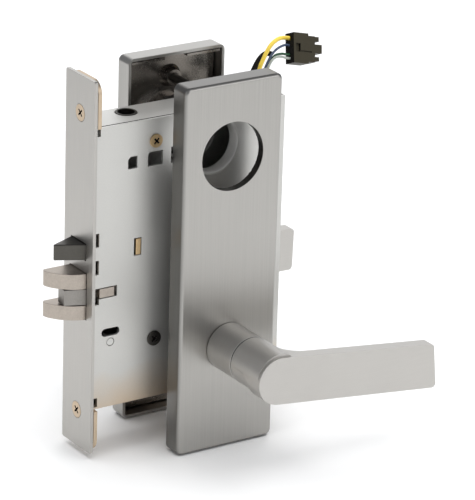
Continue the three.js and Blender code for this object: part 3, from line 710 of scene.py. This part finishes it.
def end_tree(tree, geometry, finish):
    real = new_node(tree, "GeometryNodeRealizeInstances")
    link(tree, geometry, real.inputs["Geometry"])
    painted = new_node(tree, "GeometryNodeSetMaterial")
    link(tree, real.outputs["Geometry"], painted.inputs["Geometry"])
    link(tree, finish, painted.inputs["Material"])
    out = new_node(tree, "NodeGroupOutput")
    link(tree, painted.outputs["Geometry"], out.inputs["Geometry"])
    return tree


def spring_tree():
    """A helical spring of round wire along its own Z."""
    name = "helical_spring"
    if name in bpy.data.node_groups:
        return bpy.data.node_groups[name]
    tree, given = tree_with_inputs(
        name,
        {
            FLOAT: ("Coil Radius", "Wire Radius", "Turns", "Length"),
            VECTOR: ("Place", "Turn"),
            MATERIAL: ("Finish",),
        },
    )
    helix = new_node(tree, "GeometryNodeCurveSpiral")
    helix.inputs["Resolution"].default_value = 32
    link(tree, given["Turns"], helix.inputs["Rotations"])
    link(tree, given["Coil Radius"], helix.inputs["Start Radius"])
    link(tree, given["Coil Radius"], helix.inputs["End Radius"])
    link(tree, given["Length"], helix.inputs["Height"])
    section = new_node(tree, "GeometryNodeCurvePrimitiveCircle", mode="RADIUS")
    section.inputs["Resolution"].default_value = 12
    link(tree, given["Wire Radius"], section.inputs["Radius"])
    wire = new_node(tree, "GeometryNodeCurveToMesh")
    wire.inputs["Fill Caps"].default_value = True
    link(tree, helix.outputs["Curve"], wire.inputs["Curve"])
    link(tree, section.outputs["Curve"], wire.inputs["Profile Curve"])
    placed = new_node(tree, "GeometryNodeTransform")
    link(tree, wire.outputs["Mesh"], placed.inputs["Geometry"])
    link(tree, given["Place"], placed.inputs["Translation"])
    link(tree, given["Turn"], placed.inputs["Rotation"])
    return end_tree(tree, placed.outputs["Geometry"], given["Finish"])


# ---------------------------------------------------------------- stage


class LOCK_OT_stage(Operator):
    """Camera, floor, world and soft lights"""

    bl_idname = "lock.stage"
    bl_label = "Stage"

    def execute(self, context):
        stage = context.scene.lock_stage
        self.camera(context, stage)
        self.floor(stage)
        self.world(context)
        middle = Vector((0.06, 0.0, 0.0))
        top = self.softbox("top_light", (0.1, 0.0, 1.6), middle, (2.2, 2.2), 40.0)
        top.visible_glossy = False
        self.softbox("front_light", (0.9, -1.6, 0.8), middle, (1.2, 1.2), 7.0)
        self.softbox("left_light", (-1.7, -0.5, 0.9), middle, (0.9, 1.4), 3.0)
        self.softbox("back_light", (1.15, 1.75, 0.9), middle, (1.8, 1.4), 9.0)
        return {"FINISHED"}

    def camera(self, context, stage):
        data = bpy.data.cameras.new("camera")
        data.lens = stage.lens
        data.sensor_width = 36.0
        data.clip_end = 20.0
        camera = bpy.data.objects.new("camera", data)
        context.scene.collection.objects.link(camera)
        turn = (
            Matrix.Rotation(-stage.azimuth, 4, "Z")
            @ Matrix.Rotation(math.pi / 2 - stage.elevation, 4, "X")
            @ Matrix.Rotation(stage.roll, 4, "Z")
        )
        camera.matrix_world = Matrix.Translation(stage.camera_place) @ turn
        context.scene.camera = camera
        context.scene.view_settings.view_transform = "Standard"

    def floor(self, stage):
        built = bmesh.new()
        bmesh.ops.create_grid(built, x_segments=1, y_segments=1, size=6.0)
        bmesh.ops.translate(built, vec=(0.0, 0.0, stage.floor_z), verts=built.verts)
        floor = from_bmesh("floor", built)
        floor.data.materials.append(
            worn_material(
                "pale_floor", (0.93, 0.93, 0.925), 0.7, metallic=0.0, tone=0.01,
                mottle=(3.0, 0.01), bump=0.0,
            )
        )

    def world(self, context):
        world = bpy.data.worlds.new("studio")
        world.use_nodes = True
        background = world.node_tree.nodes["Background"]
        background.inputs["Color"].default_value = (0.93, 0.95, 1.0, 1.0)
        background.inputs["Strength"].default_value = 0.36
        context.scene.world = world

    def softbox(self, name, place, target, size, power):
        data = bpy.data.lights.new(name, "AREA")
        data.shape = "RECTANGLE"
        data.size, data.size_y = size
        data.energy = power
        light = bpy.data.objects.new(name, data)
        bpy.context.scene.collection.objects.link(light)
        aim = (target - Vector(place)).to_track_quat("-Z", "Y")
        light.matrix_world = Matrix.Translation(place) @ aim.to_matrix().to_4x4()
        return light


# ---------------------------------------------------------------- front, case and inner works


class LOCK_OT_sheet_pieces(Operator):
    """Armour front, the plate behind it, and the case's own pieces"""

    bl_idname = "lock.sheet_pieces"
    bl_label = "Front and case"

    SLACK = 0.02 * MM

    def execute(self, context):
        sizes = context.scene.lock_sizes
        finished_copy("armour_front", sizes.machined_edge, segments=3)
        for node in ("inner_front_plate", "case_cover", "latch_side_guide", "cover_clip"):
            finished_copy(node, sizes.sheet_edge)
        self.case_body(sizes)
        finished_copy("case_top_collar", sizes.sheet_edge, finish="dark_steel")
        finished_copy("reversing_pin", sizes.sheet_edge, finish="case_steel")
        for side in ("inside", "outside"):
            finished_copy(f"{side}_mount_plate", sizes.sheet_edge, finish="tray_steel")
        return {"FINISHED"}

    def case_body(self, sizes):
        """The case with a shallow seam along its top, beside the cover, its faces painted near-black as painted
        shade.
        """
        low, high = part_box("case_body")
        seam, depth = low.y + sizes.seam_width, high.z - sizes.seam_depth
        body = shown("case_body_finished", frame["nodes"]["case_body"].data.copy())
        tidy(body)
        rebate = block(
            "rebate", (low.x - MM, low.y - MM, depth), (high.x + MM, seam, high.z + MM)
        )
        boolean(body, rebate, "DIFFERENCE")
        round_edges(body, sizes.sheet_edge, 2)
        settle(body, "case_body")
        # The seam's faces are painted near-black as painted shade.
        paint(body, "dark_recess", lambda face: self.in_seam(face, seam, depth))

    def in_seam(self, face, seam, depth):
        near = face.center.y < seam + self.SLACK
        return near and face.center.z > depth - self.SLACK


class LOCK_OT_inner_works(Operator):
    """Hubs, spindles, solenoid, posts and the other pieces inside the case and the plates"""

    bl_idname = "lock.inner_works"
    bl_label = "Inner works"

    NODES = (
        "cover_post_upper",
        "cover_post_lower",
        "latch_spring_anchor",
        "auxiliary_spring_anchor",
        "cylinder_cam_block",
        "solenoid_bracket",
        "solenoid_coil",
        "solenoid_plunger",
        "locking_slide",
        "upper_mount_post",
        "lower_mount_post",
        "wire_grommet",
    )

    def execute(self, context):
        edge = context.scene.lock_sizes.machined_edge
        for node in self.NODES:
            finished_copy(node, edge)
        for side in ("inside", "outside"):
            for piece in ("hub", "spindle", "spring_cage", "set_screw"):
                finished_copy(f"{side}_{piece}", edge)
        return {"FINISHED"}


class LOCK_OT_latches(Operator):
    """Latch bolt, its tongue, pin and tail, and the auxiliary latch"""

    bl_idname = "lock.latches"
    bl_label = "Latches"

    def execute(self, context):
        sizes = context.scene.lock_sizes
        for node in ("latch_bolt", "auxiliary_latch"):
            finished_copy(node, sizes.latch_edge, segments=4)
        finished_copy("latch_tongue", sizes.latch_edge, finish="tongue_steel", segments=4)
        for node in ("tongue_pin", "latch_tail"):
            finished_copy(node, sizes.sheet_edge)
        return {"FINISHED"}


class LOCK_OT_cylinder_rings(Operator):
    """Threaded rings of the cylinder hole on both sides of the case"""

    bl_idname = "lock.cylinder_rings"
    bl_label = "Cylinder rings"

    THREADS = 6
    THREAD_DEPTH = 0.45 * MM
    WALL = 1.4 * MM
    EASE = 0.3 * MM

    def execute(self, context):
        for side in ("inside", "outside"):
            node = f"{side}_cylinder_ring"
            low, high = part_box(node)
            centre = ((low.x + high.x) / 2, (low.z + high.z) / 2)
            outer = (high.x - low.x) / 2
            inner, ease = outer - self.WALL, self.EASE
            profile = [
                (outer, low.y + ease),
                (outer, high.y - ease),
                (outer - ease, high.y),
                (inner + ease, high.y),
            ]
            profile += self.thread(inner, high.y - ease, low.y + ease)
            profile += [(inner + ease, low.y), (outer - ease, low.y)]
            settle(turned_y(f"{side}_ring_turned", profile, centre), node)
        return {"FINISHED"}

    def thread(self, radius, start, end):
        """Crests at the radius and roots a little deeper, from start to end."""
        points = []
        steps = self.THREADS * 2
        for i in range(steps + 1):
            y = start + (end - start) * i / steps
            points.append((radius + (self.THREAD_DEPTH if i % 2 else 0.0), y))
        return points


# ---------------------------------------------------------------- trims


def mirrored_for(side, obj):
    """Pieces are drawn for the inside; the outside ones are turned over in Y."""
    if side == "outside":
        built = bmesh.new()
        built.from_mesh(obj.data)
        bmesh.ops.scale(built, vec=(1.0, -1.0, 1.0), verts=built.verts)
        bmesh.ops.reverse_faces(built, faces=built.faces)
        built.to_mesh(obj.data)
        built.free()
    return obj


class LOCK_OT_escutcheons(Operator):
    """The two long plates with rounded fronts, open backs and rolled cylinder hole"""

    bl_idname = "lock.escutcheons"
    bl_label = "Escutcheons"

    BOLT_HOLE = 2.7 * MM
    CUT_EDGE = 0.25 * MM
    INNER_EDGE = 0.8 * MM

    def execute(self, context):
        sizes = context.scene.lock_sizes
        for side in ("inside", "outside"):
            low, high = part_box(f"{side}_escutcheon")
            back, front = sorted((abs(low.y), abs(high.y)))
            plate = self.shell(sizes, low, high, back, front)
            ring = node_middle(f"{side}_cylinder_ring")
            self.bore(plate, sizes.neck_bore, (HANDLE_AXIS.x, HANDLE_AXIS.z))
            if side == "outside":
                self.rolled_hole(plate, sizes, front, (ring.x, ring.z))
            else:
                for post in ("upper", "lower"):
                    bolt = node_middle(f"{post}_through_bolt")
                    self.bore(plate, self.BOLT_HOLE, (bolt.x, bolt.z))
            round_edges(plate, self.CUT_EDGE, segments=2, angle=60.0)
            mirrored_for(side, plate)
            plate.name = f"{side}_plate"
            # The outside plate takes the shaded copy of the trim, with painted shade on its sides.
            finish = "satin_trim_outside" if side == "outside" else "satin_trim"
            settle(plate, f"{side}_escutcheon", finish)
        return {"FINISHED"}

    def shell(self, sizes, low, high, back, front):
        edge = sizes.plate_edge
        outline = rounded_rectangle(low, high, sizes.plate_corner)
        body = prism_y("plate", outline, back - 2 * edge, front)
        round_edges(body, edge, segments=6, angle=60.0)
        trim = block("trim", (low.x - 1, back - 1, low.z - 1), (high.x + 1, back, high.z + 1))
        boolean(body, trim, "DIFFERENCE")
        wall = sizes.plate_wall
        hollow = block(
            "hollow",
            (low.x + wall, back - 1, low.z + wall),
            (high.x - wall, front - sizes.plate_face, high.z - wall),
        )
        round_edges(hollow, self.INNER_EDGE, segments=3, angle=60.0)
        return boolean(body, hollow, "DIFFERENCE")

    def bore(self, plate, radius, centre):
        boolean(plate, rod_y("bore", radius, -1.0, 1.0, centre), "DIFFERENCE")

    def rolled_hole(self, plate, sizes, front, centre):
        outer = sizes.hole_radius + sizes.hole_lip
        rim = (front - sizes.hole_depth, front - sizes.plate_face / 2)
        boolean(plate, rod_y("rim", outer, *rim, centre), "UNION")
        self.bore(plate, sizes.hole_radius, centre)


class LOCK_OT_levers(Operator):
    """Neck collars and levers, swept from the neck into a flat blade"""

    bl_idname = "lock.levers"
    bl_label = "Levers"

    BLADES = {
        "inside": (114.5 * MM, math.radians(1.6), 1.5 * MM, 0.0),
        "outside": (96.1 * MM, math.radians(6.7), 1.5 * MM, 4.4 * MM),
    }
    TIP_CORNER = 2.2 * MM
    EASE = 0.2 * MM
    GROOVE_DEPTH = 5  # times its width
    BURIED = 1.6 * MM  # from the blade's face to the end of the neck inside it

    def execute(self, context):
        sizes = context.scene.lock_sizes
        for side, blade in self.BLADES.items():
            self.collar(sizes, side)
            self.lever(sizes, side, *blade)
        return {"FINISHED"}

    def collar(self, sizes, side):
        low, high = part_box(f"{side}_neck_collar")
        start, end = sorted((abs(low.y), abs(high.y)))
        r, ease, groove = sizes.neck_radius, self.EASE, sizes.seam_groove
        floor = r - self.GROOVE_DEPTH * groove
        profile = [
            (r - ease, start),
            (r, start + ease),
            (r, end - groove - ease),
            (r - ease, end - groove),
            (floor, end - groove),
            (floor, end),
            (sizes.neck_bore, end),
            (sizes.neck_bore, start),
        ]
        collar = turned_y(f"{side}_collar_turned", profile, (HANDLE_AXIS.x, HANDLE_AXIS.z))
        mirrored_for(side, collar)
        settle(collar, f"{side}_neck_collar", finish="neck_metal")
        # The groove's faces are painted near-black as painted shade.
        seam = end - groove * 1.01

        def in_seam(face):
            return abs(face.center.y) > seam

        paint(collar, "dark_recess", in_seam)

    def blade_outline(self, sizes, reach, droop, drop, slant):
        """Round at the neck, almost parallel, and cut at a slant, turned down by the droop."""
        half, tip, corner = sizes.lever_height / 2, sizes.tip_height / 2, self.TIP_CORNER
        lean = math.degrees(math.atan2(slant, 2 * tip))
        points = arc((0, 0), half, 90, 270, 48)
        points += arc((reach + slant - corner, -tip + corner), corner, -90, lean, 6)
        points += arc((reach - corner, tip - corner), corner, lean, 90, 6)
        turned = []
        for x, z in points:
            z -= drop
            turned.append(
                (
                    HANDLE_AXIS.x + x * math.cos(droop) + z * math.sin(droop),
                    HANDLE_AXIS.z - x * math.sin(droop) + z * math.cos(droop),
                )
            )
        return turned

    def lever(self, sizes, side, *blade):
        low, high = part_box(f"{side}_lever")
        start, face = sorted((abs(low.y), abs(high.y)))
        axis = (HANDLE_AXIS.x, HANDLE_AXIS.z)
        outline = self.blade_outline(sizes, *blade)
        back = face - sizes.lever_thickness
        fillet = sizes.lever_fillet
        r = sizes.neck_radius
        lever = prism_y(f"{side}_lever_swept", outline, back, face)
        sweep = arc((r + fillet, back - fillet), fillet, 180, 90, 16)
        flare = turned_y(
            "flare",
            [(0, back - fillet - 1 * MM), (r, back - fillet - 1 * MM)]
            + [(a, b) for a, b in sweep]
            + [(r + fillet, back + 1 * MM), (0, back + 1 * MM)],
            axis,
            closed=False,
        )
        keep = prism_y("keep", outline, back - fillet - 2 * MM, back + 2 * MM)
        boolean(flare, keep, "INTERSECT")
        boolean(lever, flare, "UNION")
        stem = turned_y(
            "stem",
            [(0, start), (r - self.EASE, start), (r, start + self.EASE)]
            + [(r, face - self.BURIED), (0, face - self.BURIED)],
            axis,
            closed=False,
        )
        boolean(lever, stem, "UNION")
        tidy(lever)
        round_edges(lever, sizes.lever_edge, segments=5, angle=50.0)
        socket = (start - 5 * MM, start + sizes.lever_bore_depth)
        boolean(lever, rod_y("hollow", sizes.lever_bore, *socket, axis), "DIFFERENCE")
        mirrored_for(side, lever)
        settle(lever, f"{side}_lever")


# ---------------------------------------------------------------- screws and springs


class LOCK_OT_screws(Operator):
    """Cross-recessed screws of the front, the cover and the through-bolts"""

    bl_idname = "lock.screws"
    bl_label = "Screws"

    FRONT_HEAD = 2.1 * MM
    COVER_HEAD = 0.8 * MM
    COVER_SHANK = 2.0 * MM
    BOLT_HEAD = (3.9 * MM, 4.4 * MM, 2.2 * MM)
    SHANK = 2.4 * MM
    ARM_WIDTH = 1.0 * MM
    EASE = 0.08 * MM

    def execute(self, context):
        fronts = ["front_screw_top", "front_screw_bottom"]
        top, bottom = (node_middle(node) for node in fronts)
        low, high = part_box(fronts[0])
        self.row(
            "front_screws",
            fronts,
            head=((high.z - low.z) / 2, self.SHANK, self.FRONT_HEAD),
            place=Vector((low.x, top.y, top.z)),
            axis=Vector((1, 0, 0)),
            reach=high.x - low.x,
            spacing=bottom - top,
            shank=self.SHANK,
        )
        for node in ("cover_screw_brass", "cover_screw_steel"):
            low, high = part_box(node)
            radius = (high.x - low.x) / 2
            self.row(
                f"{node}_turned",
                [node],
                head=(radius * 0.96, radius, self.COVER_HEAD),
                place=Vector((node_middle(node).x, low.y, node_middle(node).z)),
                axis=Vector((0, 1, 0)),
                reach=high.y - low.y,
                shank=self.COVER_SHANK,
            )
        bolts = ["upper_through_bolt", "lower_through_bolt"]
        low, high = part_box(bolts[0])
        first = node_middle(bolts[0])
        self.row(
            "through_bolts",
            bolts,
            head=self.BOLT_HEAD,
            place=Vector((first.x, high.y, first.z)),
            axis=Vector((0, -1, 0)),
            reach=high.y - low.y,
            spacing=node_middle(bolts[1]) - first,
            shank=self.SHANK,
        )
        return {"FINISHED"}

    def row(self, name, nodes, head, place, axis, reach, shank, spacing=None):
        top, under, height = head
        depth = height * 2.4
        turn = axis.to_track_quat("Z", "Y").to_euler()
        made = grown(
            name,
            screw_tree(),
            {
                "Head Radius": top,
                "Under Radius": under,
                "Head Height": height,
                "Shank Radius": shank,
                "Shank Length": reach - height,
                "Recess Size": (top * 1.05, self.ARM_WIDTH, depth + 1.2 * MM),
                "Place": tuple(place),
                "Turn": tuple(turn),
                "Count": len(nodes),
                "Spacing": tuple(spacing or Vector((0, 0, 0))),
                "Finish": finishes()[NODE_SLOT[nodes[0]]],
            },
        )
        round_edges(made, self.EASE, segments=2)
        settle(made, nodes)
        places = [place + i * (spacing or Vector()) for i in range(len(nodes))]

        # Faces inside the cross recess are painted near-black as painted shade.
        def in_recess(face):
            below = (face.center - place).dot(axis)
            beside = min((face.center - at - axis * below).length for at in places)
            return 0.2 * MM < below < depth and beside < 0.6 * top

        paint(made, "dark_recess", in_recess)


class LOCK_OT_springs(Operator):
    """Latch, auxiliary and solenoid springs"""

    bl_idname = "lock.springs"
    bl_label = "Springs"

    SPRINGS = {
        "latch_spring": ("X", 0.45 * MM, 6.0, "latch_bolt_slide"),
        "auxiliary_spring": ("X", 0.4 * MM, 8.0, "auxiliary_latch_slide"),
        "solenoid_spring": ("Z", 0.35 * MM, 4.0, "locking_slide_lift"),
    }

    def execute(self, context):
        for node, (axis, wire, turns, joint) in self.SPRINGS.items():
            low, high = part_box(node)
            middle = node_middle(node)
            along = AXES[axis]
            radius = (high.y - low.y) / 2 - wire
            place = middle.copy()
            place[along] = low[along] + wire
            turn = (0.0, math.pi / 2, 0.0) if axis == "X" else (0.0, 0.0, 0.0)
            made = grown(
                f"{node}_wound",
                spring_tree(),
                {
                    "Coil Radius": radius,
                    "Wire Radius": wire,
                    "Turns": turns,
                    "Length": high[along] - low[along] - 2 * wire,
                    "Place": tuple(place),
                    "Turn": turn,
                    "Finish": finishes()["bright_steel"],
                },
            )
            settle(made, node)
            self.compress(made, joint, low, high, along)
        return {"FINISHED"}

    def compress(self, spring, joint, low, high, along):
        """Gives the spring a mesh of its own."""
        way = Vector((0, 0, 0))
        way[along] = 1.0
        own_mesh(spring)


# ---------------------------------------------------------------- wires


def smooth_path(points, step):
    """A centripetal Catmull-Rom curve through the points, cut into pieces of about step."""
    knots = [Vector(p) for p in points]
    first = knots[0] * 2 - knots[1]
    last = knots[-1] * 2 - knots[-2]
    padded = [first, *knots, last]
    path = []
    for i in range(1, len(padded) - 2):
        p0, p1, p2, p3 = padded[i - 1 : i + 3]
        t1 = (p1 - p0).length ** 0.5
        t2 = t1 + (p2 - p1).length ** 0.5
        t3 = t2 + (p3 - p2).length ** 0.5
        count = max(2, round((p2 - p1).length / step))
        for k in range(count):
            t = t1 + (t2 - t1) * k / count
            a1 = p0.lerp(p1, t / t1)
            a2 = p1.lerp(p2, (t - t1) / (t2 - t1))
            a3 = p2.lerp(p3, (t - t2) / (t3 - t2))
            b1 = a1.lerp(a2, t / t2)
            b2 = a2.lerp(a3, (t - t1) / (t3 - t1))
            path.append(b1.lerp(b2, (t - t1) / (t2 - t1)))
    path.append(knots[-1])
    return path


def tube(name, path, radius, sides=16):
    """A round tube along a path, with closed ends."""
    built = bmesh.new()
    rings = []
    side = None
    for i, point in enumerate(path):
        ahead = path[min(i + 1, len(path) - 1)]
        behind = path[max(i - 1, 0)]
        way = (ahead - behind).normalized()
        if side is None:
            side = way.orthogonal().normalized()
        side = (side - way * side.dot(way)).normalized()
        other = way.cross(side)
        ring = []
        for k in range(sides):
            angle = 2 * math.pi * k / sides
            offset = side * math.cos(angle) + other * math.sin(angle)
            ring.append(built.verts.new(point + offset * radius))
        rings.append(ring)
    for a, b in zip(rings, rings[1:]):
        for k in range(sides):
            j = (k + 1) % sides
            built.faces.new((a[k], a[j], b[j], b[k]))
    built.faces.new(rings[0][::-1])
    built.faces.new(rings[-1])
    bmesh.ops.recalc_face_normals(built, faces=built.faces)
    return from_bmesh(name, built)


class LOCK_OT_wires(Operator):
    """Wires from the case's grommet to the connector, and the connector"""

    bl_idname = "lock.wires"
    bl_label = "Wires and connector"

    EXIT = Vector((105.6, 2.6, 77.1)) * MM
    START_Z = 66.0
    GROMMET = 3.2  # from its foot to its flange
    STEP = 0.8 * MM
    CONNECTOR = Vector((126.9, 1.1, 96.2))
    MATING = Vector((0.973, 0.0, -0.23)).normalized()
    UPWARD = Vector((0.21, 0.4, 0.895))

    # radius, start beside the exit's axis, bends, and the place on the connector's rear if it ends there
    WIRES = {
        "wire_yellow": (
            1.1,
            (0.6, -2.1),
            [(106.1, -0.6, 82.0), (106.0, -1.6, 86.0), (106.9, -2.0, 90.6), (108.5, -2.0, 93.8),
             (110.8, -1.8, 97.7), (113.9, -1.4, 101.1), (118.1, -0.8, 103.0)],
            (0.3, 5.3),
        ),
        "wire_blue": (
            0.65,
            (1.3, 0.3),
            [(109.2, 1.2, 82.0), (111.2, 0.6, 87.2), (113.7, 0.5, 92.1), (115.9, 0.5, 95.2),
             (118.5, 0.6, 97.1), (121.6, 0.8, 98.2)],
            (0.4, 1.6),
        ),
        "wire_green": (
            0.65,
            (1.9, 1.9),
            [(110.4, 2.9, 82.0), (113.4, 2.2, 86.3), (116.3, 1.9, 91.4), (118.3, 1.8, 93.3),
             (122.0, 1.6, 93.7)],
            (0.4, -3.4),
        ),
        "wire_white": (
            0.65,
            (2.5, -1.2),
            [(109.6, -0.6, 82.6), (112.2, -1.0, 88.1), (114.0, -0.9, 91.1), (116.2, -0.7, 92.9),
             (119.2, -0.5, 93.2), (122.3, -0.2, 92.3)],
            (0.0, -5.4),
        ),
        "wire_black": (
            1.5,
            (-1.6, 0.9),
            [(104.2, 3.2, 82.0), (105.7, 3.0, 86.0), (107.4, 3.0, 89.2), (109.3, 3.0, 92.0),
             (111.9, 3.0, 94.2), (114.6, 3.0, 94.7), (116.6, 3.0, 93.9)],
            None,
        ),
    }

    def execute(self, context):
        sizes = context.scene.lock_sizes
        connector = finished_copy("connector_housing", sizes.machined_edge, segments=3)
        # The connector's rear face is painted near-black as painted shade.
        paint(connector, "dark_recess", lambda face: face.normal.dot(self.MATING) < -0.9)
        for name, (radius, start, bends, port) in self.WIRES.items():
            path = self.route(start, bends, port)
            wire = tube(f"{name}_run", path, radius * MM)
            settle(wire, name)
        return {"FINISHED"}

    def route(self, start, bends, port):
        foot = self.EXIT / MM
        x, y = foot.x + start[0], foot.y + start[1]
        points = [(x, y, z) for z in (self.START_Z, self.START_Z + 3, foot.z - self.GROMMET, foot.z)]
        points += bends
        if port:
            upward = (self.UPWARD - self.MATING * self.UPWARD.dot(self.MATING)).normalized()
            depth = upward.cross(self.MATING)
            rear = self.CONNECTOR + depth * port[0] + upward * port[1]
            points += [rear - self.MATING * 2.0, rear - self.MATING * 0.1]
        return smooth_path([Vector(p) * MM for p in points], self.STEP)


# ---------------------------------------------------------------- panel and main

OPERATORS = (
    LOCK_OT_stage,
    LOCK_OT_sheet_pieces,
    LOCK_OT_inner_works,
    LOCK_OT_latches,
    LOCK_OT_cylinder_rings,
    LOCK_OT_escutcheons,
    LOCK_OT_levers,
    LOCK_OT_screws,
    LOCK_OT_springs,
    LOCK_OT_wires,
)


class LOCK_PT_panel(Panel):
    """Sizes, colours and the steps that build the lock set"""

    bl_label = "Lock set"
    bl_idname = "LOCK_PT_panel"
    bl_space_type = "VIEW_3D"
    bl_region_type = "UI"
    bl_category = "Lock"

    def draw(self, context):
        scene = context.scene
        for group in (scene.lock_stage, scene.lock_sizes, scene.lock_colours):
            for key in group.__annotations__:
                self.layout.prop(group, key)
        for operator in OPERATORS:
            self.layout.operator(operator.bl_idname)


CLASSES = (LockSizes, LockColours, LockStage, *OPERATORS, LOCK_PT_panel)


def register():
    for cls in CLASSES:
        bpy.utils.register_class(cls)
    bpy.types.Scene.lock_sizes = PointerProperty(type=LockSizes)
    bpy.types.Scene.lock_colours = PointerProperty(type=LockColours)
    bpy.types.Scene.lock_stage = PointerProperty(type=LockStage)


def unregister():
    for name in ("lock_sizes", "lock_colours", "lock_stage"):
        delattr(bpy.types.Scene, name)
    for cls in reversed(CLASSES):
        bpy.utils.unregister_class(cls)


def main():
    register()
    for operator in OPERATORS:
        group, name = operator.bl_idname.split(".")
        getattr(getattr(bpy.ops, group), name)()


if __name__ == "__main__":
    main()
